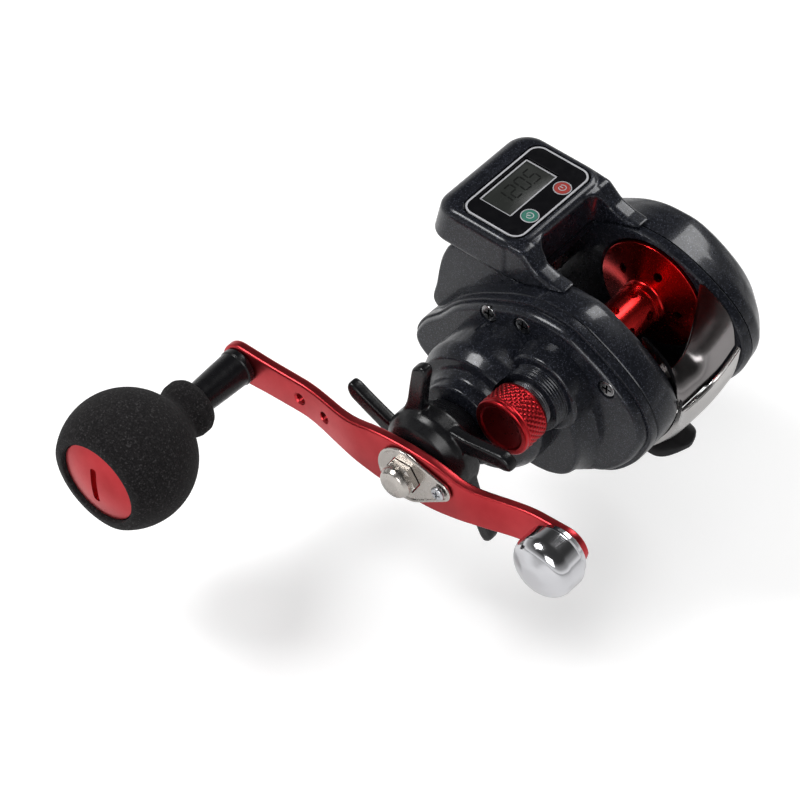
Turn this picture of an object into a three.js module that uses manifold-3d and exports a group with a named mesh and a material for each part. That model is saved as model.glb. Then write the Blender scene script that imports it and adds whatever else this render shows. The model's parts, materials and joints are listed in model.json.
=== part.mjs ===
// Digital baitcasting reel with the handle on the left. Millimetres, +Z up, +Y the way the line leaves.
// Stations are measured from the middle of the spool: X along its axis, the handle at -X. The finished
// reel is lifted by body.footDrop, so that the origin lies under the foot, at the middle of the spool.
import * as THREE from 'three';
import { mergeVertices } from 'three/addons/utils/BufferGeometryUtils.js';
import Module from 'manifold-3d';

const wasm = await Module();
wasm.setup();

// Fits shared by the whole reel
const gap = 0.3; // between faces that rest on each other
const runGap = 0.4; // radial, round what turns
const overrun = 1; // how far a cut passes through what it cuts
const bite = 0.2; // how far joined shapes reach into each other

// Sides of turned pieces: pins and screws, bores and bearings, wheels; and steps of a round corner
const sides = { pin: 8, bore: 10, disc: 12, wheel: 16, corner: 2 };

// Body: reaches of the side outline from the spool axis, and the plates along X
const body = {
  nose: 52,
  tail: 33.4,
  top: 20.4,
  footDrop: 34,
  bellyRise: 1.5,
  openingHalf: 13.4,
  ringTaper: 1.6,
  handlePlate: 10.6,
  palmPlate: 3.1,
  recessDepth: 2.1,
  gearWall: 3,
  rimWall: 1.8,
  outlineSteps: 24,
};
body.belly = body.footDrop - body.bellyRise;
const handleSeam = -(body.openingHalf + body.handlePlate);
const palmSeam = body.openingHalf + body.palmPlate;
const recessFloor = -(body.openingHalf + body.recessDepth);
const pocketFloor = recessFloor - body.gearWall;

// Side outline, going over the top from the nose: shares of nose or tail, and of top or belly
const outlineShares = [
  [1, -0.523], [0.952, -0.338], [0.846, -0.148], [0.742, 0.113], [0.625, 0.382], [0.512, 0.578],
  [0.331, 0.843], [0.185, 0.971], [0.058, 1], [-0.084, 0.995], [-0.299, 0.868], [-0.563, 0.64],
  [-0.814, 0.451], [-0.934, 0.186], [-1, -0.108], [-0.943, -0.354], [-0.808, -0.6], [-0.584, -0.831],
  [-0.24, -0.969], [0.115, -1], [0.423, -0.991], [0.692, -0.898], [0.885, -0.757], [0.981, -0.631],
];

// Gear trains: the drive pair, and the pair that turns the level wind
const mesh = { pressureAngle: (20 * Math.PI) / 180, backlash: 0.08 };
const drive = { module: 0.56, teeth: 63, pinionTeeth: 10, shiftShare: 0.4, direction: -37.2 };
const wind = { module: 0.8, teeth: 27, drivenTeeth: 17, direction: 32.6, width: 2.4, start: 2.4 };
const lerpOf = THREE.MathUtils.lerp;
const radians = (degrees) => (degrees * Math.PI) / 180;
const heading = (degrees) => new THREE.Vector2(Math.cos(radians(degrees)), Math.sin(radians(degrees)));
const spoolAxis = new THREE.Vector2(0, 0);
const driveCentre = (drive.module * (drive.teeth + drive.pinionTeeth)) / 2;
const driveAxis = heading(drive.direction).multiplyScalar(driveCentre);
const windCentre = (wind.module * (wind.teeth + wind.drivenTeeth)) / 2;
const wormAxis = heading(wind.direction).multiplyScalar(windCentre).add(driveAxis);

// Spool, its shaft and the clutch that the pinion makes with it
const spool = {
  radius: 17.2,
  half: 14.6,
  rim: 2,
  rimLip: 0.3,
  rimWall: 1.1,
  hub: 6.5,
  hubHalf: 9.4,
  web: 1.3,
  shaft: 1.5,
  sleeve: 3.3,
  portRadius: 1.4,
  portShare: 0.62,
  ports: 5,
  portSides: 6,
};
const openingRadius = spool.radius + runGap;
const clutch = { pinRadius: 0.75, pinReach: 2.35, travel: 2, slot: 1.9, noseRadius: 2.9, throat: 2.4 };
const yoke = { width: 1.6, span: 11, eye: 2.6, half: 4.6, post: 1, corner: 2 };
const bearing = { width: 2.6, wall: 2.9 };

// Handle side cover and what it houses
const cover = {
  wall: 1.6,
  depth: 5.7,
  crownDepth: 2.8,
  crownInset: 3,
  bossRadius: 20.8,
  bossEnd: 21.5,
  bossRound: 6,
  bossInset: 3.3,
  towerRadius: 13.2,
  towerEnd: 27.5,
  towerEdge: 0.7,
  collarBase: 13.5,
  collarBaseEnd: 13,
  collarRound: 3,
  collarInset: 2,
  skirtEnd: 12.6,
  skirtRound: 1.6,
  skirtSteps: 22,
  collar: 9.6,
  collarEnd: 17.3,
  collarEdge: 0.5,
  neck: 7.4,
  neckEnd: 22.8,
};
const pinion = { noseLength: 7, teethStart: 10.4, length: 20.2, bore: 1.9 };
const driveTrain = {
  shaft: 3,
  chamfer: 0.5,
  gearWidth: 4,
  web: 1.5,
  recess: 14.2,
  washer: 1,
  plate: 1.8,
  spring: 2,
  springRadius: 9,
  sleeve: 4.6,
  oneWayRadius: 7.4,
  oneWayLength: 6,
  ratchetRadius: 7.4,
  ratchetWidth: 1.6,
  ratchetTeeth: 12,
  shoulder: 4.6,
};
const cap = {
  radius: 9,
  start: 3,
  length: 9.5,
  front: 4.2,
  rim: 2.2,
  rimInset: 0.1,
  coreInset: 0.8,
  lip: 0.7,
  dish: 1,
  dishRadius: 6.6,
  chamfer: 0.9,
  flutes: 16,
  flute: 0.35,
};
const screw = { head: 2.4, headHeight: 1.1, shank: 1.2, length: 9.5, boss: 3.1, slot: 0.6 };
const sideScrewShares = { front: [0.465, 0.46], middle: [0.237, 0.612], rear: [-0.51, 0.368] };

// Level wind
const worm = { radius: 3.1, root: 2.2, journal: 1.8, turns: 2.5, grooveWidth: 2, half: 12.6, steps: 8 };
const guide = {
  half: 3.4,
  wall: 1.6,
  barRadius: 1.3,
  barDrop: 6.8,
  barForward: 2,
  eyeForward: 7.2,
  eyeRise: 8.6,
  eyeHalf: 2.35,
  eyeTall: 3.4,
  eyeWall: 1.15,
  eyeDepth: 2.6,
  pawl: 1.5,
  pawlRim: 0.7,
  pawlHead: 1,
};

// Counter on the front of the frame
const counter = {
  half: 20,
  rear: 21.5,
  front: 51.5,
  flare: 3.5,
  topRise: 27.5,
  underRise: 14.5,
  corner: 6.5,
  edge: 2.4,
  underEdge: 0.5,
  wall: 1.6,
  roof: 2.4,
  legTip: 8.2,
  legDrop: 5.2,
  legWidth: 6.4,
  legLap: 4,
  legEdge: 1,
};
const panel = { half: 17.2, rear: 24.5, front: 45.5, thickness: 0.9, corner: 4 };
const lcd = { half: 12, rear: 31.6, front: 45.2, thickness: 2.4 };
const lcdWindow = { half: 10.8, rear: 32.2, front: 44 };
const button = { radius: 2.4, spacing: 7.2, forward: 28.3, proud: 0.35, length: 5.4, flange: 0.5 };
const board = { drop: 7.9, thickness: 1.2 };
const battery = { radius: 8, thickness: 3.2, forward: 35, doorWall: 1.4, slot: 1.2, sides: 20 };
const cheek = { handleWidth: 6, plate: 2.7, front: 49, corner: 3 };
const cam = { thickness: 1.4, half: 5.3, low: 6.6, high: 10.2, rim: 1.8, tailRise: 0.7, corner: 2 };

// Thumb bar and rear cover: heights above the spool axis, and distances behind it near the spool
const thumb = {
  half: 13.1,
  midTop: [-17.9, -7.5],
  sideTop: [-16.8, 14.6],
  midLowDrop: 15,
  sideLowDrop: 2,
  bulge: 1.6,
  sideBulge: 4,
  thickness: 1.6,
  travel: 3,
  acrossSteps: 12,
  downSteps: 3,
  stubWidth: 3.6,
  stubHeight: 3,
  stubCorner: 0.6,
  stubRise: 3.2,
};
const rearCover = { lap: 0.5, proud: 2, tuck: 0.2, thickness: 1.2, bulge: 3.2 };

// How far back these stand, as shares of the body's tail; the stub, of the room behind the opening
const tailShares = { midLow: 0.7545, sideLow: 0.8683, rearLow: 0.5838, floor: 0.497 };
const stubShare = 0.3357;

// Foot, and the floor and bar that it is screwed to
const foot = {
  back: 26,
  front: 34,
  half: 7.8,
  flatHalf: 2.6,
  sag: 2.8,
  thickness: 2.4,
  padBack: 12,
  padFront: 20,
  floor: 3,
  floorEdge: 1,
  rearBar: 4,
  screwRoom: 0.7,
  screwFront: 21,
};
const floorNoseShare = 0.827;
const noseBar = { depth: 7, height: 8, corner: 2.4 };
const noseBarBellyShare = 0.72;

// Palm side
const palm = { depth: 14, wall: 1.6, boss: 1.6 };
const dial = {
  radius: 9,
  length: 2.6,
  back: 3,
  drop: 2,
  stem: 2,
  clip: 3.4,
  edge: 1,
  flutes: 11,
  flute: 0.35,
};
const magnets = { outer: 13.5, thickness: 1.8 };

// Star drag, handle and knob, along the drive axis
const star = {
  start: 28.2,
  hub: 14,
  hubEnd: 45.6,
  dome: 3.4,
  taper: 2.6,
  armAt: 36.4,
  armThickness: 3.8,
  reach: 30.5,
  arms: 5,
  phase: 10,
};
const arm = {
  inner: 47.2,
  thickness: 3,
  knobReach: 63.7,
  weightReach: 50.8,
  tilt: -3,
  knobSet: 3.5,
  weightSet: 4.5,
  hubHalf: 9.6,
  chamfer: 0.5,
  bendFrom: 17,
  bendTo: 42,
  holeRadius: 1.6,
  holes: [31.5, 41.5],
};
const nut = { across: 5.6, hex: 3, dome: 3.2, domeRadius: 4.7 };
const retainer = {
  radius: 9,
  tail: 13.2,
  turn: -9,
  tailRadius: 3.4,
  thickness: 1,
  screw: 0.9,
  screwHead: 2.1,
  screwHeight: 1.2,
};
const weight = {
  radius: 9.6,
  length: 13.2,
  base: 8.2,
  neck: 2.4,
  screw: 1.6,
  screwHead: 3,
  screwHeight: 1.8,
};
const knob = {
  sleeve: 18.4,
  sleeveRadius: 5.65,
  sleeveTip: 4.65,
  sleeveEdge: 0.3,
  ball: 19.7,
  ballAt: 46.4,
  collar: 8.5,
  collarAt: 22.4,
  neck: 7.4,
  neckAt: 26.4,
  neckBlend: 0.6,
  foamLip: 0.8,
  capRadius: 12.5,
  capAt: 57.2,
  capCrown: 1.7,
  slot: 6,
  slotWidth: 1.8,
  slotDepth: 0.8,
  spindle: 2.2,
  flange: 1.4,
  flangeLength: 1,
  bearing: 4.4,
  core: 4,
  coreEnd: 54.3,
  lip: 1.6,
  ballSteps: 7,
};

// Colours
const paint = (color, roughness, metalness) =>
  new THREE.MeshStandardMaterial({ color, roughness, metalness });
const finish = {
  body: paint(0x24262c, 0.3, 0.5),
  dark: paint(0x101114, 0.35, 0.1),
  red: paint(0xa31621, 0.3, 0.8),
  chrome: paint(0xc9cbd0, 0.12, 1),
  smoke: paint(0x8d8c90, 0.14, 1),
  steel: paint(0x9a9da2, 0.3, 0.9),
  brass: paint(0xb8924a, 0.35, 0.9),
  foam: paint(0x17171a, 0.95, 0),
  carbon: paint(0x202124, 0.7, 0),
  board: paint(0x1d5b35, 0.6, 0),
  lcd: paint(0x56604f, 0.25, 0),
  green: paint(0x2f9e78, 0.4, 0),
  orange: paint(0xb8322c, 0.4, 0),
};

// A closed geometry as a solid for joining and cutting, its faces turned outwards
function solidOf(geometry) {
  const bare = geometry.clone();
  bare.deleteAttribute('normal');
  bare.deleteAttribute('uv');
  const merged = mergeVertices(bare, 1e-4);
  const triVerts = new Uint32Array(merged.index.array);
  const vertProperties = new Float32Array(merged.attributes.position.array);
  if (volumeOf(vertProperties, triVerts) < 0) triVerts.reverse();
  return new wasm.Manifold(new wasm.Mesh({ numProp: 3, vertProperties, triVerts }));
}

function volumeOf(points, faces) {
  const corner = (i) => new THREE.Vector3().fromArray(points, faces[i] * 3);
  let total = 0;
  for (let i = 0; i < faces.length; i += 3) total += corner(i).dot(corner(i + 1).cross(corner(i + 2))) / 6;
  return total;
}

function geometryOf(solid) {
  const { vertProperties, triVerts, numProp } = solid.getMesh();
  const places = new Float32Array(triVerts.length * 3);
  triVerts.forEach((vertex, i) => {
    places.set(vertProperties.subarray(vertex * numProp, vertex * numProp + 3), i * 3);
  });
  const geometry = new THREE.BufferGeometry();
  geometry.setAttribute('position', new THREE.BufferAttribute(places, 3));
  geometry.computeVertexNormals();
  return geometry;
}

const join = (...shapes) => geometryOf(shapes.map(solidOf).reduce((whole, shape) => whole.add(shape)));
const cut = (shape, ...tools) =>
  geometryOf(tools.map(solidOf).reduce((whole, tool) => whole.subtract(tool), solidOf(shape)));
const tidy = (shape) => geometryOf(solidOf(shape));
const shifted = (shape, x, y, z) => shape.clone().translate(x, y, z);
const onAxis = (shape, axis) => shifted(shape, 0, axis.x, axis.y);

const extruded = (points, depth) =>
  new THREE.ExtrudeGeometry(new THREE.Shape(points), { depth, bevelEnabled: false });

// An outline in the Y-Z plane carried along X
function prism(points, from, to) {
  const turn = new THREE.Matrix4().makeBasis(
    new THREE.Vector3(0, 1, 0), new THREE.Vector3(0, 0, 1), new THREE.Vector3(1, 0, 0));
  return extruded(points, to - from).applyMatrix4(turn).translate(from, 0, 0);
}

// An outline in the X-Y plane carried up Z
const slab = (points, from, to) => extruded(points, to - from).translate(0, 0, from);

// Stations of [x, radius] turned about the X axis; both ends are closed on it
function turned(stations, count = sides.wheel) {
  const profile = stations.map(([x, radius]) => new THREE.Vector2(Math.max(radius, 0), x));
  if (profile[0].x > 0) profile.unshift(new THREE.Vector2(0, profile[0].y));
  if (profile.at(-1).x > 0) profile.push(new THREE.Vector2(0, profile.at(-1).y));
  return new THREE.LatheGeometry(profile, count).rotateZ(-Math.PI / 2);
}

const rod = (radius, from, to, count = sides.pin) => turned([[from, radius], [to, radius]], count);
function tube(outer, inner, from, to, count = sides.disc) {
  const bore = rod(inner, Math.min(from, to) - overrun, Math.max(from, to) + overrun, count);
  return cut(rod(outer, from, to, count), bore);
}

// A skin through rings of equal count, closed by flat ends
function lofted(rings) {
  const count = rings[0].length;
  const places = rings.flat().flatMap((p) => [p.x, p.y, p.z]);
  const faces = [];
  for (let r = 0; r < rings.length - 1; r += 1) {
    for (let i = 0; i < count; i += 1) {
      const a = r * count + i;
      const b = r * count + ((i + 1) % count);
      faces.push(a, b, b + count, a, b + count, a + count);
    }
  }
  const last = (rings.length - 1) * count;
  for (const [start, end] of [[0, false], [last, true]]) {
    const flat = flattened(rings[end ? rings.length - 1 : 0]);
    const forward = THREE.ShapeUtils.area(flat) > 0 === end;
    for (const [a, b, c] of THREE.ShapeUtils.triangulateShape(flat, [])) {
      faces.push(...(forward ? [a, b, c] : [a, c, b]).map((i) => i + start));
    }
  }
  const geometry = new THREE.BufferGeometry();
  geometry.setAttribute('position', new THREE.Float32BufferAttribute(places, 3));
  geometry.setIndex(faces);
  return geometry.toNonIndexed();
}

// A ring of points in the plane that it mostly lies in
function flattened(ring) {
  const size = new THREE.Box3().setFromPoints(ring).getSize(new THREE.Vector3());
  if (size.x <= Math.min(size.y, size.z)) return ring.map((p) => new THREE.Vector2(p.y, p.z));
  if (size.y <= Math.min(size.x, size.z)) return ring.map((p) => new THREE.Vector2(p.z, p.x));
  return ring.map((p) => new THREE.Vector2(p.x, p.y));
}

const ringAt = (x, points) => points.map((p) => new THREE.Vector3(x, p.x, p.y));
const arc = (centre, radius, from, to, steps) =>
  Array.from({ length: steps + 1 }, (_, i) => {
    const angle = from + ((to - from) * i) / steps;
    return new THREE.Vector2(centre.x + radius * Math.cos(angle), centre.y + radius * Math.sin(angle));
  });
const circle = (centre, radius) => arc(centre, radius, 0, 2 * Math.PI, sides.bore).slice(0, -1);
function rectangle(x0, x1, y0, y1) {
  return [[x0, y0], [x1, y0], [x1, y1], [x0, y1]].map(([x, y]) => new THREE.Vector2(x, y));
}

// A rectangle with round corners
function softRectangle(x0, x1, y0, y1, radius) {
  const corners = [[x1, y1, 0], [x0, y1, 1], [x0, y0, 2], [x1, y0, 3]];
  return corners.flatMap(([x, y, quarter]) => {
    const cx = x === x1 ? x - radius : x + radius;
    const cy = y === y1 ? y - radius : y + radius;
    const start = (quarter * Math.PI) / 2;
    return arc(new THREE.Vector2(cx, cy), radius, start, start + Math.PI / 2, sides.corner);
  });
}

// The side outline, drawn in towards the spool axis: by one inset, or by one for each of its four reaches
const even = (inset) => ({ nose: inset, tail: inset, top: inset, belly: inset });
function sideOutline(inset) {
  const drawn = typeof inset === 'number' ? even(inset) : inset;
  const points = outlineShares.map(([y, z]) => {
    const along = y > 0 ? 'nose' : 'tail';
    const up = z > 0 ? 'top' : 'belly';
    return new THREE.Vector3(y * (body[along] - drawn[along]), z * (body[up] - drawn[up]), 0);
  });
  const curve = new THREE.CatmullRomCurve3(points, true, 'centripetal');
  return curve.getPoints(body.outlineSteps).slice(0, -1).map(({ x, y }) => new THREE.Vector2(x, y));
}

// Stations of [x, inset] along X, skinned between side outlines
const outlineLoft = (stations) => lofted(stations.map(([x, inset]) => ringAt(x, sideOutline(inset))));

// Stations of a rounded edge, from the side of a turned piece to its end
const easeShares = [[1, 0], [0.43, 0.21], [0.15, 0.55], [0, 1]];
const eased = (end, radius, along, across) =>
  easeShares.map(([alongShare, acrossShare]) => [end + along * alongShare, radius - across * acrossShare]);

// Involute gear outline with its first tooth at an angle
function gearOutline(teeth, module, shift, firstTooth) {
  const pitch = (module * teeth) / 2;
  const base = pitch * Math.cos(mesh.pressureAngle);
  const tip = pitch + module * (1 + shift);
  const root = pitch - module * (1.25 - shift);
  const involute = (angle) => Math.tan(angle) - angle;
  const thinned = mesh.backlash / (2 * pitch);
  const halfPitch = Math.PI / (2 * teeth) + (2 * shift * Math.tan(mesh.pressureAngle)) / teeth - thinned;
  const halfAt = (radius) =>
    halfPitch + involute(mesh.pressureAngle) - involute(Math.acos(Math.min(base / radius, 1)));
  const points = [];
  for (let tooth = 0; tooth < teeth; tooth += 1) {
    const middle = firstTooth + (2 * Math.PI * tooth) / teeth;
    for (const [radius, side] of [[root, -1], [tip, -1], [tip, 1], [root, 1]]) {
      const angle = middle + side * halfAt(Math.max(radius, base));
      points.push(new THREE.Vector2(radius * Math.cos(angle), radius * Math.sin(angle)));
    }
  }
  return points;
}

const group = (axis) => {
  const made = new THREE.Group();
  made.position.set(0, axis.x, axis.y);
  return made;
};
const add = (parent, name, geometry, material) => {
  const piece = new THREE.Mesh(tidy(geometry), material);
  piece.name = name;
  parent.add(piece);
};

// Stations along X, from the spool outwards
const pinionFrom = recessFloor - gap;
const teethFrom = pinionFrom - pinion.teethStart;
const throatFrom = pinionFrom - pinion.noseLength;
const throatTo = throatFrom - yoke.width - gap * 2;
const pinionTo = pinionFrom - pinion.length;
const windFrom = pocketFloor - wind.start;
const windTo = windFrom - wind.width;
const gearFrom = teethFrom - bite - clutch.travel - gap;
const gearTo = gearFrom - driveTrain.gearWidth;
const washerFrom = gearFrom - driveTrain.web - gap;
const washerTo = washerFrom - driveTrain.washer;
const plateFrom = washerTo - gap;
const plateTo = plateFrom - driveTrain.plate;
const springFrom = plateTo - gap;
const springTo = springFrom - driveTrain.spring;
const sleeveFrom = springTo - gap;
const coverFrom = handleSeam - gap;
const coverInner = coverFrom - cover.wall;
const coverFace = coverFrom - cover.depth;
const bossEnd = handleSeam - cover.bossEnd;
const towerEnd = handleSeam - cover.towerEnd;
const collarStep = handleSeam - cover.collarBaseEnd;
const collarEnd = handleSeam - cover.collarEnd;
const skirtEnd = handleSeam - cover.skirtEnd;
const neckEnd = handleSeam - cover.neckEnd;
const oneWayFrom = bossEnd + cover.wall;
const oneWayTo = oneWayFrom - driveTrain.oneWayLength;
const seatFrom = collarEnd - gap;
const capFrom = collarEnd - cap.start;
const capTo = capFrom - cap.length;
const shaftEnd = neckEnd - overrun;
const starFrom = handleSeam - star.start;
const starEnd = handleSeam - star.hubEnd;
const starArmInner = handleSeam - star.armAt;
const starArmOuter = starArmInner - star.armThickness;
const armInner = handleSeam - arm.inner;
const armOuter = armInner - arm.thickness;
const nutSeat = armOuter - gap;
const hexEnd = nutSeat - nut.hex;
const retainerTo = nutSeat - retainer.thickness;
const palmFrom = palmSeam + gap;
const palmTo = palmSeam + palm.depth;
const palmFloor = palmTo - palm.wall;
const wormEnd = body.openingHalf + body.palmPlate / 2;

// Axes and places in the Y-Z plane
const yokeAway = heading(drive.direction + 90).multiplyScalar(yoke.span);
const yokeSides = { upper: 1, lower: -1 };
const onYoke = (side) => yokeAway.clone().multiplyScalar(side);
const sideScrews = Object.entries(sideScrewShares).map(([name, [y, z]]) => [
  name, new THREE.Vector2(y * (y > 0 ? body.nose : body.tail), z * body.top)]);
const barAxis = new THREE.Vector2(wormAxis.x + guide.barForward, wormAxis.y - guide.barDrop);
const eyeAxis = new THREE.Vector2(wormAxis.x + guide.eyeForward, wormAxis.y + guide.eyeRise);
const stubBack = lerpOf(openingRadius, body.tail - body.rimWall, stubShare);
const stubAxis = new THREE.Vector2(-stubBack, thumb.stubRise);
const dialAxis = new THREE.Vector2(-dial.back, -dial.drop);
const footTop = -body.footDrop + foot.thickness;
const floorUnder = footTop + gap;
const floorTop = floorUnder + foot.floor;
const floorBack = body.tail * tailShares.floor;
const floorFront = body.nose * floorNoseShare;
const screwBack = floorBack - foot.rearBar - foot.screwRoom - screw.head;
const footScrews = { rear: -screwBack, front: foot.screwFront };
const midLow = [-body.tail * tailShares.midLow, -thumb.midLowDrop];
const sideLow = [-body.tail * tailShares.sideLow, -thumb.sideLowDrop];
const rearLow = [-body.tail * tailShares.rearLow, floorTop - rearCover.tuck];
const bridgeTop = counter.underRise - gap;
const bridgeUnder = bridgeTop - cheek.plate;
const panelUnder = counter.topRise - panel.thickness;
const roofUnder = counter.topRise - counter.roof;
const buttonSides = { power: -button.spacing, reset: button.spacing };
const bearingOn = (radius) => ({ inner: radius, outer: radius + bearing.wall });
const pinionBearing = bearingOn(clutch.noseRadius + runGap);
const shaftBearing = bearingOn(driveTrain.shaft + gap);
const spoolBearing = bearingOn(spool.shaft + gap);
const pinionTip = drive.module * (drive.pinionTeeth / 2 + 1 + drive.shiftShare);

function uprightRod(radius, x, y, from, to, count = sides.pin) {
  const made = new THREE.CylinderGeometry(radius, radius, to - from, count);
  return made.rotateX(Math.PI / 2).translate(x, y, (from + to) / 2);
}

// Cheeks carry the counter above the line guide: shares of their reach and of the bridge's height
const cheekShares = [
  [0.3, 0.95], [0.42, 1], [0.93, 1], [1, 0.62], [1.05, -0.3], [1.065, -0.84], [0.9, -1.1], [0.5, -0.6],
];

// Frame: two plates with the spool opening, cheeks and bridge, nose bar, floor and rear bar
function frame() {
  const { openingHalf, ringTaper, rimWall } = body;
  const handlePlate = cut(
    outlineLoft([[handleSeam, 0], [-openingHalf - ringTaper * 2, ringTaper / 4], [-openingHalf, ringTaper]]),
    outlineLoft([[handleSeam - overrun, rimWall], [pocketFloor, rimWall]]));
  const posts = sideScrews.map(([, axis]) => onAxis(rod(screw.boss, handleSeam, pocketFloor + bite), axis));
  const palmPlate = outlineLoft([[openingHalf, ringTaper], [palmSeam, ringTaper / 2]]);
  const cheekOutline = cheekShares.map(([y, z]) => new THREE.Vector2(y * cheek.front, z * bridgeTop));
  const handleCheek = prism(cheekOutline, -openingHalf - cheek.handleWidth, -openingHalf);
  const palmCheek = prism(cheekOutline, openingHalf, palmSeam);
  const bridge = slab(
    softRectangle(-openingHalf - cheek.handleWidth, palmSeam,
      counter.rear + gap, cheek.front - counter.edge, cheek.corner),
    bridgeUnder, bridgeTop);
  return cut(
    join(handlePlate, ...posts, palmPlate, handleCheek, palmCheek, bridge, ...crossBars()),
    rod(openingRadius, recessFloor, -openingHalf + overrun, sides.wheel),
    rod(openingRadius, openingHalf - overrun, palmSeam + overrun, sides.wheel),
    ...frameBores(),
    stubWindow(),
    uprightRod(battery.radius + battery.doorWall + gap, 0, battery.forward,
      bridgeUnder - overrun, bridgeTop + overrun, battery.sides),
    ...Object.values(footScrews).map((y) =>
      uprightRod(screw.shank + gap, 0, y, footTop - overrun, floorTop + overrun)));
}

// Nose bar, floor and rear bar, from plate to plate
function crossBars() {
  const reach = body.openingHalf + bite;
  const noseFront = body.nose - body.rimWall;
  const barLow = -body.belly * noseBarBellyShare;
  const across = (y0, y1, z0, z1, corner) => prism(softRectangle(y0, y1, z0, z1, corner), -reach, reach);
  return [
    across(noseFront - noseBar.depth, noseFront, barLow, barLow + noseBar.height, noseBar.corner),
    across(-floorBack, floorFront, floorUnder, floorTop, foot.floorEdge),
    across(-floorBack, foot.rearBar - floorBack, floorUnder, floorTop + foot.rearBar, foot.floorEdge)];
}

// Bores for the bearings, the worm, the guide bar, the side screws and the yoke posts
function frameBores() {
  const wallBore = (axis, radius) =>
    onAxis(rod(radius, pocketFloor - overrun, recessFloor + overrun, sides.bore), axis);
  const screwEnd = coverFace + screw.length + gap;
  const postSeat = (side) => onAxis(
    rod(yoke.post + gap / 2, pocketFloor - overrun, pocketFloor + body.gearWall / 2), onYoke(side));
  return [
    wallBore(spoolAxis, pinionBearing.outer + gap),
    wallBore(driveAxis, shaftBearing.outer + gap),
    onAxis(rod(worm.journal + runGap, pocketFloor - overrun, wormEnd + gap, sides.bore), wormAxis),
    onAxis(rod(guide.barRadius + gap, -wormEnd, wormEnd, sides.bore), barAxis),
    ...sideScrews.map(([, axis]) => onAxis(rod(screw.shank + gap, handleSeam - overrun, screwEnd), axis)),
    ...Object.values(yokeSides).map(postSeat)];
}

// Window that the thumb bar's stub moves down in
function stubWindow() {
  const halfWidth = thumb.stubWidth / 2 + runGap;
  const halfHeight = thumb.stubHeight / 2 + runGap;
  const outline = softRectangle(
    -halfWidth, halfWidth, -halfHeight - thumb.travel, halfHeight, thumb.stubCorner + runGap);
  return onAxis(prism(outline, pocketFloor - overrun, -body.openingHalf + overrun), stubAxis);
}

// Foot: a saddle with a flat strip under its middle and thin round ends
function reelFoot() {
  const stepShares = [0, 0.33, 0.67, 1];
  const half = stepShares.map((share) => [
    foot.flatHalf + (foot.half - foot.flatHalf) * share, -foot.sag * share * share]);
  const arch = [...half.toReversed().map(([x, z]) => [-x, z]), ...half];
  const section = ([y, widthShare, thickShare]) => [
    ...arch.map(([x, z]) => new THREE.Vector3(x * widthShare, y, z - body.footDrop)),
    ...arch.toReversed().map(([x, z]) =>
      new THREE.Vector3(x * widthShare, y, z - body.footDrop + foot.thickness * thickShare)),
  ];
  const round = foot.half;
  const plate = lofted([
    [-foot.back, 0.5, 0.6], [-foot.back + round * 0.15, 0.76, 0.75], [-foot.back + round * 0.5, 0.95, 0.85],
    [-foot.back + round, 1, 0.9], [-foot.padBack, 1, 1], [foot.padFront, 1, 1], [foot.front - round, 1, 0.8],
    [foot.front - round * 0.5, 0.95, 0.7], [foot.front - round * 0.15, 0.76, 0.6], [foot.front, 0.5, 0.5],
  ].map(section));
  return cut(plate, ...Object.values(footScrews).map((y) =>
    uprightRod(screw.shank + gap, 0, y, footTop - foot.thickness * 0.6, footTop + overrun)));
}

function footScrew(y) {
  const headFrom = floorTop + gap;
  const headTo = headFrom + screw.headHeight;
  const head = uprightRod(screw.head, 0, y, headFrom, headTo);
  const shank = uprightRod(screw.shank, 0, y, footTop - foot.thickness * 0.4, headFrom + bite);
  const outline = rectangle(-screw.head, screw.head, y - screw.slot / 2, y + screw.slot / 2);
  const slot = slab(outline, headTo - screw.slot, headTo + overrun);
  return cut(join(head, shank), slot);
}

// Raised skirt round the boss and below the cap: shares of the body's tail and belly
const skirtShares = [
  [0.2, 0.1], [-0.12, 0.08], [-0.28, -0.08], [-0.38, -0.33], [-0.4, -0.58], [-0.3, -0.82], [-0.06, -0.95],
  [0.35, -0.99], [0.8, -0.8], [0.9, -0.3], [0.6, 0.05],
];

function coverSkirt() {
  const points = skirtShares.map(([y, z]) => new THREE.Vector3(y * body.tail, z * body.belly, 0));
  const curve = new THREE.CatmullRomCurve3(points, true, 'centripetal');
  const outline = curve.getPoints(cover.skirtSteps).slice(0, -1);
  const skirtRing = (x, share) => outline.map((p) => new THREE.Vector3(
    x, driveAxis.x + (p.x - driveAxis.x) * share, driveAxis.y + (p.y - driveAxis.y) * share));
  return lofted([
    skirtRing(skirtEnd, 0.95), skirtRing(skirtEnd + cover.skirtRound, 1), skirtRing(coverInner, 1)]);
}

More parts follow.
